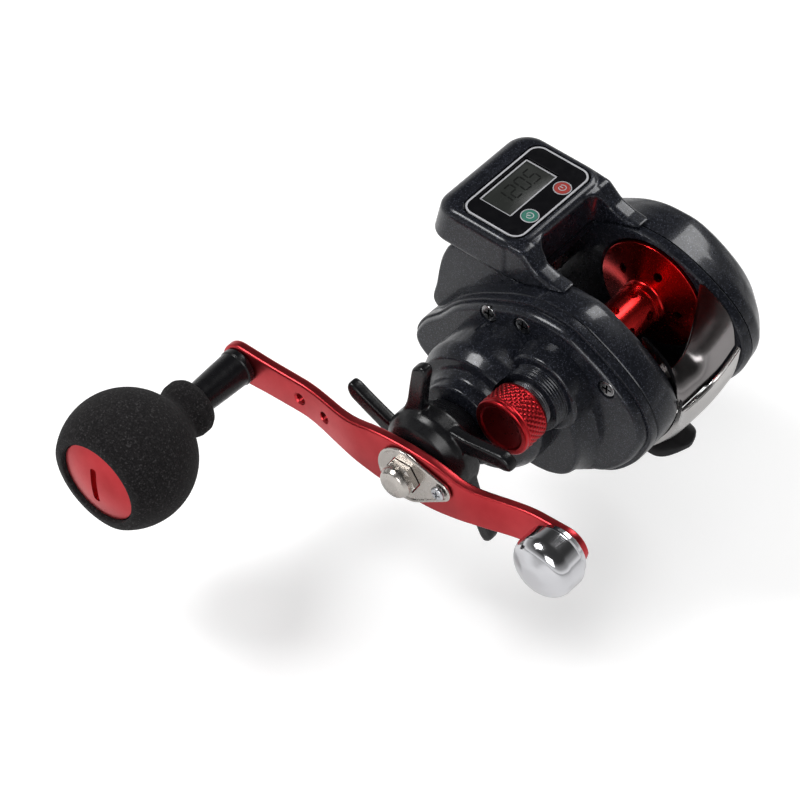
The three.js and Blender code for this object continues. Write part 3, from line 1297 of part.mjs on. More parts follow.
function knobCap() {
  const { capRadius, capAt, capCrown, slot, slotWidth } = knob;
  const face = capAt + knob.lip * 0.4;
  const crownShares = [[1, 0], [0.9, 0.4], [0.6, 0.72], [0.15, 0.95], [0, 1]];
  const disc = turned([
    ...crownShares.map(([along, across]) => [knobAt(face + capCrown * along), capRadius * across]),
    [knobAt(capAt), capRadius]]);
  const outline = softRectangle(-slotWidth / 2, slotWidth / 2, -slot, slot, slotWidth * 0.4);
  const top = face + capCrown;
  return cut(disc, prism(outline, knobAt(top + overrun), knobAt(top - knob.slotDepth)));
}

// The reel, put together
const reel = new THREE.Group();
const inside = new THREE.Group();
inside.position.z = body.footDrop;
reel.add(inside);
const fixed = group(spoolAxis);
const onSpool = group(spoolAxis);
const onDrive = group(driveAxis);
const onWorm = group(wormAxis);
const onDial = group(dialAxis);
const onKnob = new THREE.Group();
const onWeight = new THREE.Group();
const handle = new THREE.Group();
handle.rotation.x = radians(arm.tilt);
onKnob.position.y = arm.knobReach;
onWeight.position.y = -arm.weightReach;
handle.add(onKnob, onWeight);
onDrive.add(handle);
inside.add(fixed, onSpool, onDrive, onWorm, onDial);

add(fixed, 'frame', frame(), finish.body);
add(fixed, 'reel_foot', reelFoot(), finish.dark);
for (const [place, y] of Object.entries(footScrews)) {
  add(fixed, `foot_screw_${place}`, footScrew(y), finish.steel);
}
add(fixed, 'handle_side_cover', handleSideCover(), finish.body);
for (const [place, axis] of sideScrews) {
  add(fixed, `side_screw_${place}`, onAxis(sideScrew(), axis), finish.dark);
}
add(fixed, 'palm_side_cover', palmSideCover(), finish.body);
add(onDial, 'brake_dial', brakeDial(), finish.chrome);
add(fixed, 'brake_magnets', brakeMagnets(), finish.steel);
add(fixed, 'rear_cover', rearCoverShell(), finish.chrome);
add(fixed, 'thumb_bar', thumbBar(), finish.smoke);
add(fixed, 'clutch_cam', clutchCam(), finish.steel);
add(fixed, 'clutch_yoke', clutchYoke(), finish.dark);
for (const [place, side] of Object.entries(yokeSides)) {
  add(fixed, `yoke_post_${place}`, onAxis(yokePost(), onYoke(side)), finish.steel);
}

add(fixed, 'counter_housing', counterHousing(), finish.body);
add(fixed, 'display_panel', displayPanel(), finish.dark);
add(fixed, 'lcd_module', lcdModule(), finish.lcd);
add(fixed, 'circuit_board', circuitBoard(), finish.board);
add(fixed, 'coin_battery', coinBattery(), finish.steel);
add(fixed, 'battery_door', batteryDoor(), finish.dark);
add(fixed, 'power_button', counterButton(buttonSides.power), finish.green);
add(fixed, 'reset_button', counterButton(buttonSides.reset), finish.orange);

const plateBearing = (size) => ballBearing(size, pocketFloor + gap / 2, recessFloor - gap / 2);
const palmSeat = [palmFrom + gap, palmFrom + gap + bearing.width];
const handleSeat = [seatFrom - gap - bearing.width, seatFrom - gap];
add(onSpool, 'spool', spoolBody(), finish.red);
add(onSpool, 'spool_shaft', spoolShaft(), finish.steel);
add(onSpool, 'spool_bearing_palm', ballBearing(spoolBearing, ...palmSeat), finish.steel);
add(onSpool, 'spool_bearing_handle', ballBearing(spoolBearing, ...handleSeat), finish.steel);
add(onSpool, 'pinion_bearing', plateBearing(pinionBearing), finish.steel);
add(onSpool, 'pinion_gear', pinionGear(), finish.brass);
add(onSpool, 'cast_control_cap', castCap(), finish.red);
add(onSpool, 'cap_shim', capShim(), finish.brass);

const windTurn = radians(wind.direction);
const drivenTurn = windTurn + Math.PI + Math.PI / wind.drivenTeeth;
const windDriven = windGear(wind.drivenTeeth, drivenTurn, worm.journal + gap / 2);
add(onDrive, 'drive_shaft', driveShaft(), finish.steel);
add(onDrive, 'drive_shaft_bearing', plateBearing(shaftBearing), finish.steel);
add(onDrive, 'drive_gear', driveGear(), finish.brass);
add(onDrive, 'ratchet_wheel', ratchetWheel(), finish.steel);
add(onDrive, 'drag_washer', dragWasher(), finish.carbon);
add(onDrive, 'pressure_plate', pressurePlate(), finish.steel);
add(onDrive, 'spring_washer', springWasher(), finish.steel);
add(onDrive, 'drive_sleeve', driveSleeve(), finish.steel);
add(onDrive, 'one_way_bearing', oneWayBearing(), finish.steel);
add(onDrive, 'levelwind_drive_gear', windGear(wind.teeth, windTurn, driveTrain.shaft + gap), finish.dark);
add(onWorm, 'levelwind_driven_gear', windDriven, finish.dark);
add(onWorm, 'worm_shaft', wormShaft(), finish.steel);
add(fixed, 'line_guide', lineGuide(), finish.dark);
add(fixed, 'line_guide_pawl', lineGuidePawl(), finish.brass);
add(fixed, 'guide_bar', onAxis(guideBar(), barAxis), finish.steel);

add(onDrive, 'star_drag', starDrag(), finish.dark);
add(handle, 'handle_arm', handleArm(), finish.red);
add(handle, 'handle_nut', handleNut(), finish.chrome);
add(handle, 'nut_retainer', nutRetainer(), finish.chrome);
add(handle, 'retainer_screw', onAxis(retainerScrew(), tailPlace), finish.steel);
add(onWeight, 'counterweight', counterweight(), finish.chrome);
add(onWeight, 'counterweight_screw', counterweightScrew(), finish.steel);
add(onKnob, 'knob_spindle', knobSpindle(), finish.steel);
add(onKnob, 'knob_bearing', knobBearing(), finish.steel);
add(onKnob, 'knob_sleeve', knobSleeve(), finish.dark);
add(onKnob, 'knob_grip', knobGrip(), finish.foam);
add(onKnob, 'knob_cap', knobCap(), finish.red);

export default reel;
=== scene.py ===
# Looks of a digital baitcasting reel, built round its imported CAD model.
# Sizes are millimetres from the middle of the spool: X along its axis with the handle at -X, Y forward,
# Z up. A mesh gets them in metres, with the middle of the spool footDrop above the reel's foot.
import json
import math

import bmesh
import bpy
import numpy as np
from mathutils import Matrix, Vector


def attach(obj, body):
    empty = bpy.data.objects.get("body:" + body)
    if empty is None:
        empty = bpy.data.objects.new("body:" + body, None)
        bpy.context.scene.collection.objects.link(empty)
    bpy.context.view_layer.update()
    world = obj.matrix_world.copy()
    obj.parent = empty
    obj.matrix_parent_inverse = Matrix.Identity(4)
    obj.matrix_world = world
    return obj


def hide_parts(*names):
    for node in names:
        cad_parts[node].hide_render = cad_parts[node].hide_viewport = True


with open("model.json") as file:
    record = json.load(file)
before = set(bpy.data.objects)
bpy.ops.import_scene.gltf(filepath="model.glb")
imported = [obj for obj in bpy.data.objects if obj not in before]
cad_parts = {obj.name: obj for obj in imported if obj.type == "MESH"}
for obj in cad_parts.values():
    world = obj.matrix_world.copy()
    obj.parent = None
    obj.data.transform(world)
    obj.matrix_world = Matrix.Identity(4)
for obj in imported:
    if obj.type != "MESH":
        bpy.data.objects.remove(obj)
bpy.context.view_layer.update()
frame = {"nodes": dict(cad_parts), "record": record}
nodes = frame["nodes"]
groups = frame["record"]["behaviour"]["bodies"]
bodyOf = {node: body for body, members in groups.items() for node in members}
footDrop = 34
metre = 0.001
gap = 0.3  # between faces that meet
openingHalf = 13.4  # half of the room between the two plates
spoolAxis = (0, 0)
driveAxis = (16.281, -12.358)
wormAxis = (31.108, -2.877)
dialAxis = (-3, -2)
handleTilt = math.radians(-3)
print("frame loaded:", len(nodes), "nodes")


# Shapes

# points in millimetres become a mesh; doubles merge and faces are turned outwards
def makeMesh(name, points, faces):
    points = np.array(points, float).reshape(-1, 3) + (0, 0, footDrop)
    mesh = bpy.data.meshes.new(name)
    mesh.from_pydata((points * metre).tolist(), [], faces)
    work = bmesh.new()
    work.from_mesh(mesh)
    bmesh.ops.remove_doubles(work, verts=work.verts, dist=1e-6)
    bmesh.ops.recalc_face_normals(work, faces=work.faces)
    return fromWork(name, work, mesh)


def fromWork(name, work, mesh):
    work.to_mesh(mesh)
    work.free()
    made = bpy.data.objects.new(name, mesh)
    bpy.context.scene.collection.objects.link(made)
    return made


# several pieces as one mesh
def gathered(name, parts):
    work = bmesh.new()
    for part in parts:
        work.from_mesh(part.data)
        bpy.data.objects.remove(part)
    return fromWork(name, work, bpy.data.meshes.new(name))


# closed rings of equal length, joined row by row; loop joins the last ring to the first, and otherwise
# a face closes either end
def skinned(name, rings, loop=False):
    rings = np.array(rings, float)
    rows, cols = rings.shape[:2]
    row, col = np.meshgrid(np.arange(rows if loop else rows - 1), np.arange(cols), indexing="ij")
    below, after = (row + 1) % rows, (col + 1) % cols
    quads = np.stack([row * cols + col, row * cols + after, below * cols + after, below * cols + col], -1)
    ends = [] if loop else [list(range(cols))[::-1], list(range((rows - 1) * cols, rows * cols))]
    return makeMesh(name, rings, quads.reshape(-1, 4).tolist() + ends)


# each corner (a, b, radius) becomes an arc that touches both of its sides
def filleted(corners, steps=6, closed=False):
    out = []
    count = len(corners)
    for i, (a, b, radius) in enumerate(corners):
        here = np.array([a, b], float)
        if radius <= 0 or (not closed and i in (0, count - 1)):
            out.append(here[None])
            continue
        back = np.array(corners[i - 1][:2], float) - here
        fore = np.array(corners[(i + 1) % count][:2], float) - here
        backLong, foreLong = np.linalg.norm(back), np.linalg.norm(fore)
        back, fore = back / backLong, fore / foreLong
        half = math.acos(float(np.clip(back @ fore, -1, 1))) / 2
        if half > 1.55:  # the sides run straight on
            out.append(here[None])
            continue
        reach = min(radius / math.tan(half), 0.49 * backLong, 0.49 * foreLong)
        bend = reach * math.tan(half)
        centre = here + (back + fore) / np.linalg.norm(back + fore) * bend / math.sin(half)
        first, last = (here + back * reach - centre) / bend, (here + fore * reach - centre) / bend
        turn = math.pi - 2 * half
        t = np.linspace(0, 1, steps + 1)[:, None]
        arc = np.sin((1 - t) * turn) * first + np.sin(t * turn) * last
        out.append(centre + bend * arc / math.sin(turn))
    return np.concatenate(out)


# a filleted profile of (x, radius, fillet) turned about an axis along X: y = r cos a, z = r sin a, with
# ripple(x, a) added to r; loop closes the profile on itself, as for a tube
def turned(name, corners, axis=spoolAxis, sides=96, steps=6, ripple=None, loop=False):
    profile = filleted(corners, steps, loop)
    angle = np.linspace(0, 2 * np.pi, sides, endpoint=False)
    x, a = np.meshgrid(profile[:, 0], angle, indexing="ij")
    r = np.repeat(profile[:, 1:2], sides, 1)
    if ripple is not None:
        r = r + ripple(x, a) * (r > 0.01)
    return skinned(name, np.stack([x, axis[0] + r * np.cos(a), axis[1] + r * np.sin(a)], -1), loop)


# a plain round bar along X, most of them used as bores
def rod(name, start, end, radius, axis=spoolAxis, sides=32):
    return turned(name, [(start, 0, 0), (start, radius, 0), (end, radius, 0), (end, 0, 0)], axis, sides)


# unit normals of a closed outline, pointing out of it
def outwards(outline):
    along = np.roll(outline, -1, 0) - np.roll(outline, 1, 0)
    along /= np.linalg.norm(along, axis=1, keepdims=True) + 1e-12
    normal = np.stack([along[:, 1], -along[:, 0]], -1)
    x, y = outline[:, 0], outline[:, 1]
    area = np.sum(x * np.roll(y, -1) - y * np.roll(x, -1))
    return normal if area > 0 else -normal


# a closed outline carried through stations of (height, inset); each point moves in along its normal
def carried(name, outline, stations, plane="yz", loop=False):
    normal = outwards(outline)
    rings = []
    for height, inset in stations:
        flat = outline - normal * inset
        level = np.full((len(flat), 1), height)
        rings.append(np.concatenate([level, flat] if plane == "yz" else [flat, level], 1))
    return skinned(name, rings, loop)


def prism(name, outline, low, high, plane="yz"):
    return carried(name, outline, [(low, 0), (high, 0)], plane)


# a thin strip that follows an outline between two insets and two heights
def edging(name, outline, outer, inner, low, high):
    section = [(low, outer), (high, outer), (high, inner), (low, inner)]
    return carried(name, outline, section, "xy", True)


# stations of (height, inset) from low to high with both edges rounded off
def rounded(low, high, edge, steps=4):
    a = np.linspace(0, np.pi / 2, steps + 1)
    foot = np.stack([low + edge * (1 - np.cos(a)), edge * (1 - np.sin(a))], -1)
    head = np.stack([high - edge * (1 - np.sin(a)), edge * (1 - np.cos(a))], -1)
    return np.concatenate([foot, head])


# a rectangle with round corners, as a closed outline
def softBox(x0, x1, y0, y1, radius, steps=8):
    return filleted([(x1, y0, radius), (x1, y1, radius), (x0, y1, radius), (x0, y0, radius)], steps, True)


def softBoxAt(centre, long, wide, radius, steps=8):
    return softBox(centre[0] - long, centre[0] + long, centre[1] - wide, centre[1] + wide, radius, steps)


def ring(radius, sides=48, centre=(0, 0)):
    a = np.linspace(0, 2 * np.pi, sides, endpoint=False)
    return np.stack([centre[0] + radius * np.cos(a), centre[1] + radius * np.sin(a)], -1)


# flat points turned about the origin
def swung(flat, turn):
    c, s = math.cos(turn), math.sin(turn)
    return flat @ np.array([[c, s], [-s, c]])


# the piece with its modifiers made part of its mesh
def applied(piece):
    graph = bpy.context.evaluated_depsgraph_get()
    mesh = bpy.data.meshes.new_from_object(piece.evaluated_get(graph))
    piece.modifiers.clear()
    piece.data = mesh
    return piece


# joins closed pieces; the others are used up
def combined(piece, others, how="UNION"):
    for other in others:
        step = piece.modifiers.new("step", "BOOLEAN")
        step.operation, step.object, step.solver = how, other, "MANIFOLD"
    applied(piece)
    for other in others:
        bpy.data.objects.remove(other)
    return piece


def cutBy(piece, tools):
    return combined(piece, tools, "DIFFERENCE")


# an even skin of small cells, smoothed, so that joined forms flow into each other as in a casting
def moulded(piece, cell):
    skin = piece.modifiers.new("skin", "REMESH")
    skin.mode, skin.voxel_size, skin.use_smooth_shade = "VOXEL", cell * metre, True
    flow = piece.modifiers.new("flow", "SMOOTH")
    flow.factor, flow.iterations = 0.5, 3
    return applied(piece)


# moves a piece's points, which the change gets and gives in millimetres from the middle of the spool
def moved(piece, change):
    mesh = piece.data
    co = np.zeros(len(mesh.vertices) * 3, np.float32)
    mesh.vertices.foreach_get("co", co)
    points = change(co.reshape(-1, 3) / metre - (0, 0, footDrop)) + (0, 0, footDrop)
    mesh.vertices.foreach_set("co", (points * metre).astype(np.float32).ravel())
    mesh.update()
    return piece


# turns a piece about an axis along X
def spun(piece, turn, axis=spoolAxis):
    c, s = math.cos(turn), math.sin(turn)

    def change(p):
        y, z = p[:, 1] - axis[0], p[:, 2] - axis[1]
        return np.stack([p[:, 0], axis[0] + y * c - z * s, axis[1] + y * s + z * c], 1)
    return moved(piece, change)


# turns a piece of the handle about the drive axis, as the handle stands
def tilted(piece):
    return spun(piece, handleTilt, driveAxis)


# turns a piece made along X to stand along Z, and moves its origin to x, y, z
def upright(piece, x, y, z):
    return moved(piece, lambda p: np.stack([p[:, 1] + x, p[:, 2] + y, p[:, 0] + z], 1))


# a screw along X: head from seat to top, shank on to end, and slots of (half length, half width)
def screw(name, axis, v, slots, sides=40):
    piece = turned(name, [
        (v["top"], 0, 0), (v["top"], v["head"], v["round"]), (v["seat"], v["head"], v["rim"]),
        (v["seat"], v["shank"], 0), (v["end"], v["shank"], v["tip"]), (v["end"], 0, 0)], axis, sides)
    above = v["top"] + math.copysign(1, v["top"] - v["seat"])
    return cutBy(piece, [prism("slot", softBoxAt(axis, long, wide, v["corner"], 2), above, v["floor"])
                         for long, wide in slots])


# smooth shading up to an angle, the material, and the CAD node that the piece stands for; even weighs
# each normal by the size of its faces, so that flat faces stay flat beside their fillets
def finished(piece, material, node=None, body=None, sharp=32, even=False):
    piece.data.materials.clear()
    piece.data.materials.append(material)
    piece.data.shade_smooth()
    piece.data.set_sharp_from_angle(angle=math.radians(sharp))
    if even:
        weighed = piece.modifiers.new("weighed", "WEIGHTED_NORMAL")
        weighed.keep_sharp = True
    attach(piece, body or bodyOf[node])
    if node:
        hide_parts(node)
    return piece


# Materials: every pattern reads Object coordinates, in metres

class Finish:
    def __init__(self, name, **shader):
        self.material = bpy.data.materials.new(name)
        self.material.use_nodes = True
        self.tree = self.material.node_tree
        self.shader = self.tree.nodes["Principled BSDF"]
        self.bumps = None
        for socket, value in shader.items():
            self.shader.inputs[socket.replace("_", " ")].default_value = value

    def node(self, kind, **settings):
        made = self.tree.nodes.new("ShaderNode" + kind)
        for key, value in settings.items():
            setattr(made, key, value)
        return made

    def link(self, out, socket):
        self.tree.links.new(out, socket)

    def noise(self, scale, detail=3.0, rough=0.5, stretch=None):
        made = self.node("TexNoise")
        for key, value in (("Scale", scale), ("Detail", detail), ("Roughness", rough)):
            made.inputs[key].default_value = value
        where = self.node("TexCoord").outputs["Object"]
        if stretch:
            mapping = self.node("Mapping")
            mapping.inputs["Scale"].default_value = stretch
            self.link(where, mapping.inputs["Vector"])
            where = mapping.outputs["Vector"]
        self.link(where, made.inputs["Vector"])
        return made.outputs["Fac"]

    def cells(self, scale):
        made = self.node("TexVoronoi")
        made.inputs["Scale"].default_value = scale
        self.link(self.node("TexCoord").outputs["Object"], made.inputs["Vector"])
        return made

    # one of the three random shares that each cell has
    def flecks(self, scale, channel):
        split = self.node("SeparateColor")
        self.link(self.cells(scale).outputs["Color"], split.inputs["Color"])
        return split.outputs[channel]

    def ramp(self, value, stops):
        made = self.node("ValToRGB")
        band = made.color_ramp
        while len(band.elements) < len(stops):
            band.elements.new(0.5)
        for element, (at, color) in zip(band.elements, stops):
            element.position = at
            element.color = (*color, 1) if isinstance(color, tuple) else (color, color, color, 1)
        self.link(value, made.inputs["Fac"])
        return made.outputs["Color"]

    def colour(self, out):
        self.link(out, self.shader.inputs["Base Color"])

    def roughness(self, out):
        self.link(out, self.shader.inputs["Roughness"])

    def bump(self, height, strength, distance):
        made = self.node("Bump")
        made.inputs["Strength"].default_value = strength
        made.inputs["Distance"].default_value = distance * metre
        self.link(height, made.inputs["Height"])
        if self.bumps is not None:
            self.link(self.bumps, made.inputs["Normal"])
        self.bumps = made.outputs["Normal"]
        self.link(self.bumps, self.shader.inputs["Normal"])


# gloss paint with metal flake: a few cells of about a fifth of a millimetre shine out
def flakePaint(name, base, bright, share):
    made = Finish(name, Metallic=0.2, Coat_Weight=0.3, Coat_Roughness=0.1, Specular_IOR_Level=0.22)
    stops = [(0, base), (share, base), (share + 0.07, bright), (1, bright)]
    blend = made.node("Mix", data_type="RGBA", blend_type="MULTIPLY")
    blend.inputs["Factor"].default_value = 0.35
    made.link(made.ramp(made.flecks(5200, "Red"), stops), blend.inputs["A"])
    made.link(made.ramp(made.noise(60, 2), [(0.3, 0.7), (0.7, 1.0)]), blend.inputs["B"])
    made.colour(blend.outputs["Result"])
    made.roughness(made.ramp(made.noise(900, 2), [(0.3, 0.26), (0.7, 0.36)]))
    made.bump(made.noise(420, 2), 0.06, 0.05)
    return made.material


# dyed aluminium: metal with a fine grain and a slow change of tone
def anodised(name, deep, light, rough):
    made = Finish(name, Metallic=1.0)
    made.colour(made.ramp(made.noise(90, 4), [(0.3, deep), (0.7, light)]))
    made.roughness(made.ramp(made.noise(1400, 2), [(0.3, rough - 0.03), (0.7, rough + 0.04)]))
    made.bump(made.noise(2600, 2), 0.02, 0.02)
    return made.material


# polished plating with faint clouding, uneven roughness and a fine bump
def plated(name, tone, rough):
    made = Finish(name, Metallic=1.0)
    made.colour(made.ramp(made.noise(40, 3), [(0.3, tuple(0.88 * c for c in tone)), (0.7, tone)]))
    made.roughness(made.ramp(made.noise(240, 4, 0.6), [(0.35, rough), (0.8, rough + 0.07)]))
    made.bump(made.noise(320, 2), 0.04, 0.04)
    return made.material


# cut metal with fine tool lines across X
def machined(name, tone, rough):
    made = Finish(name, Metallic=1.0)
    made.colour(made.ramp(made.noise(120, 3), [(0.3, tuple(0.82 * c for c in tone)), (0.7, tone)]))
    made.roughness(made.ramp(made.noise(500, 3), [(0.3, rough), (0.7, rough + 0.12)]))
    made.bump(made.noise(400, 2, stretch=(14, 1, 1)), 0.25, 0.03)
    return made.material


# moulded plastic: a fine spark-eroded grain and slight unevenness
def mouldedPlastic(name, tone, rough, grain=0.15):
    made = Finish(name, Specular_IOR_Level=0.3)
    made.colour(made.ramp(made.noise(150, 3), [(0.3, tuple(0.8 * c for c in tone)), (0.7, tone)]))
    made.roughness(made.ramp(made.noise(420, 3), [(0.3, rough), (0.7, rough + 0.1)]))
    made.bump(made.noise(2400, 2), grain, 0.03)
    return made.material


# fine closed-cell foam: black, dry, with pale flecks and tiny pits
def foamSkin(name):
    made = Finish(name, Sheen_Weight=0.03, Sheen_Roughness=0.6, Specular_IOR_Level=0.12)
    made.colour(made.ramp(made.flecks(2600, "Green"), [
        (0, (0.0045, 0.004, 0.0045)), (0.6, (0.009, 0.008, 0.0085)), (0.9, (0.016, 0.015, 0.0155)),
        (1, (0.034, 0.032, 0.033))]))
    made.roughness(made.ramp(made.noise(800, 3), [(0.3, 0.86), (0.7, 0.98)]))
    made.bump(made.cells(2200).outputs["Distance"], 0.4, 0.1)
    made.bump(made.noise(4200, 3), 0.3, 0.05)
    return made.material


paint = flakePaint("gunmetalFlake", (0.0065, 0.0075, 0.011), (0.055, 0.06, 0.08), 0.88)
panelBlack = mouldedPlastic("panelBlack", (0.004, 0.004, 0.005), 0.14, 0.03)
glossBlack = mouldedPlastic("glossBlack", (0.005, 0.005, 0.006), 0.22, 0.06)
satinBlack = mouldedPlastic("satinBlack", (0.007, 0.007, 0.008), 0.5)
redAlloy = anodised("redAlloy", (0.42, 0.03, 0.036), (0.54, 0.048, 0.056), 0.32)
capRed = anodised("capRed", (0.34, 0.014, 0.018), (0.46, 0.022, 0.028), 0.3)
spoolRed = anodised("spoolRed", (0.5, 0.014, 0.014), (0.64, 0.024, 0.022), 0.24)
chrome = plated("chrome", (0.7, 0.7, 0.725), 0.11)
satinChrome = plated("satinChrome", (0.6, 0.585, 0.575), 0.22)
smokeChrome = plated("smokeChrome", (0.26, 0.245, 0.245), 0.2)
nickel = plated("nickel", (0.56, 0.525, 0.49), 0.24)
blackChrome = plated("blackChrome", (0.32, 0.32, 0.325), 0.14)
steel = machined("turnedSteel", (0.56, 0.57, 0.59), 0.24)
darkSteel = machined("darkSteel", (0.12, 0.12, 0.13), 0.3)
brass = machined("cutBrass", (0.62, 0.43, 0.17), 0.26)
foam = foamSkin("foamSkin")
carbon = mouldedPlastic("wovenCarbon", (0.02, 0.02, 0.022), 0.55, 0.5)
boardGreen = mouldedPlastic("boardGreen", (0.02, 0.11, 0.05), 0.4)
lcdGlass = mouldedPlastic("lcdGlass", (0.021, 0.023, 0.021), 0.2, 0.02)
digitInk = mouldedPlastic("digitInk", (0.003, 0.0035, 0.003), 0.3, 0.02)
silverInk = mouldedPlastic("silverInk", (0.42, 0.42, 0.44), 0.35, 0.05)
greenDome = mouldedPlastic("greenDome", (0.03, 0.15, 0.11), 0.3, 0.05)
redDome = mouldedPlastic("redDome", (0.32, 0.035, 0.028), 0.3, 0.05)
print("materials made")


# Side outline of the body, from the nose over the top: shares of its reach forward or back, up or down.
# The handle side is shorter behind and lower behind its top.

sideReach = {"nose": 52, "tail": 33.4, "top": 20.4, "belly": 32.5}
handleTail = 2.4
sideShares = [
    (1, -0.523), (0.952, -0.338), (0.846, -0.148), (0.742, 0.113), (0.625, 0.382), (0.512, 0.578),
    (0.331, 0.843), (0.185, 0.971), (0.058, 1), (-0.094, 0.99), (-0.309, 0.895), (-0.568, 0.705),
    (-0.795, 0.46), (-0.938, 0.18), (-1, -0.108), (-0.943, -0.354), (-0.808, -0.6), (-0.584, -0.831),
    (-0.24, -0.969), (0.115, -1), (0.423, -0.991), (0.692, -0.898), (0.885, -0.757), (0.981, -0.631)]
handleShares = list(sideShares)
handleShares[9:15] = [
    (-0.094, 0.985), (-0.3, 0.855), (-0.56, 0.64), (-0.79, 0.38), (-0.93, 0.12), (-1, -0.14)]


# closed curve through points, its knots spaced by the root of their distance: three rounds of straight
# blends between neighbours, each over the knots that it spans
def smoothLoop(points, steps=10):
    p = np.array(points, float)
    a, b, c, d = (np.roll(p, k, 0)[:, None] for k in (1, 0, -1, -2))
    pairs = ((a, b), (b, c), (c, d))
    ab, bc, cd = (np.sqrt(np.linalg.norm(v - u, axis=2, keepdims=True)) for u, v in pairs)
    t1, t2, t3 = ab, ab + bc, ab + bc + cd
    t = t1 + (t2 - t1) * np.linspace(0, 1, steps, endpoint=False)[None, :, None]
    a1, a2 = (t1 - t) / ab * a + t / ab * b, (t2 - t) / bc * b + (t - t1) / bc * c
    a3 = (t3 - t) / cd * c + (t - t2) / cd * d
    b1, b2 = (t2 - t) / t2 * a1 + t / t2 * a2, (t3 - t) / (t3 - t1) * a2 + (t - t1) / (t3 - t1) * a3
    return ((t2 - t) / bc * b1 + (t - t1) / bc * b2).reshape(-1, p.shape[1])


# a smooth loop through shares of two sizes
def sharedLoop(shares, across, up, steps=10):
    return smoothLoop([(y * across, z * up) for y, z in shares], steps)


# side outlines skinned along X, each with its four reaches shortened by one inset or by one each; the
# handle side's outline where the last station lies at -X
def sideLoft(name, stations, steps=10):
    handle = stations[-1][0] < 0
    rings = []
    for x, inset in stations:
        drawn = inset if isinstance(inset, dict) else dict.fromkeys(sideReach, inset)
        reach = {end: sideReach[end] - drawn[end] for end in sideReach}
        reach["tail"] -= handleTail if handle else 0
        flat = smoothLoop([(y * reach["nose" if y > 0 else "tail"], z * reach["top" if z > 0 else "belly"])
                           for y, z in (handleShares if handle else sideShares)], steps)
        rings.append(np.concatenate([np.full((len(flat), 1), x), flat], 1))
    return skinned(name, rings)


# stations from x0 to x1 whose inset grows as a quarter ellipse
def crown(x0, x1, inset, steps=10):
    a = np.linspace(0, np.pi / 2, steps + 1)
    return [(x0 + (x1 - x0) * math.sin(t), inset * (1 - math.cos(t))) for t in a]


# Handle side cover: face with a ledge round it, gear boss, skirt under it, collar round the cap's neck

sideCover = {
    "seam": -24.3, "ledgeAt": -27.15, "ledge": 1.25, "face": -30, "crown": 1.9, "wall": 1.6,
    "bossRadius": 20.8, "bossEnd": -45.5, "towerRadius": 13.2, "towerEnd": -51.5, "skirtEnd": -36.6,
    "collarBase": 13.5, "collarStep": -37, "collar": 9.6, "collarEnd": -41.3, "capRoom": 9.7,
    "gearRoom": 18.8, "gearRoomEnd": -43.9}
skirtShares = [
    (0.2, 0.1), (-0.12, 0.08), (-0.28, -0.08), (-0.38, -0.33), (-0.4, -0.58), (-0.3, -0.82),
    (-0.06, -0.95), (0.35, -0.99), (0.8, -0.8), (0.9, -0.3), (0.6, 0.05)]
ridge = {"from": -37.4, "to": -40.9, "pitch": 0.875, "depth": 0.16}
thread = {"from": -41.5, "to": -46.4, "pitch": 0.75, "depth": 0.14, "radius": 7.22}
screwPlaces = {"front": (24.18, 9.384), "middle": (12.324, 12.485), "rear": (-17.034, 7.507)}
sideScrew = {"head": 2.6, "shank": 1.15, "top": -29.75, "seat": -28.9, "end": -20.6, "floor": -28.55,
             "round": 0.5, "rim": 0.1, "tip": 0.2, "corner": 0.2}


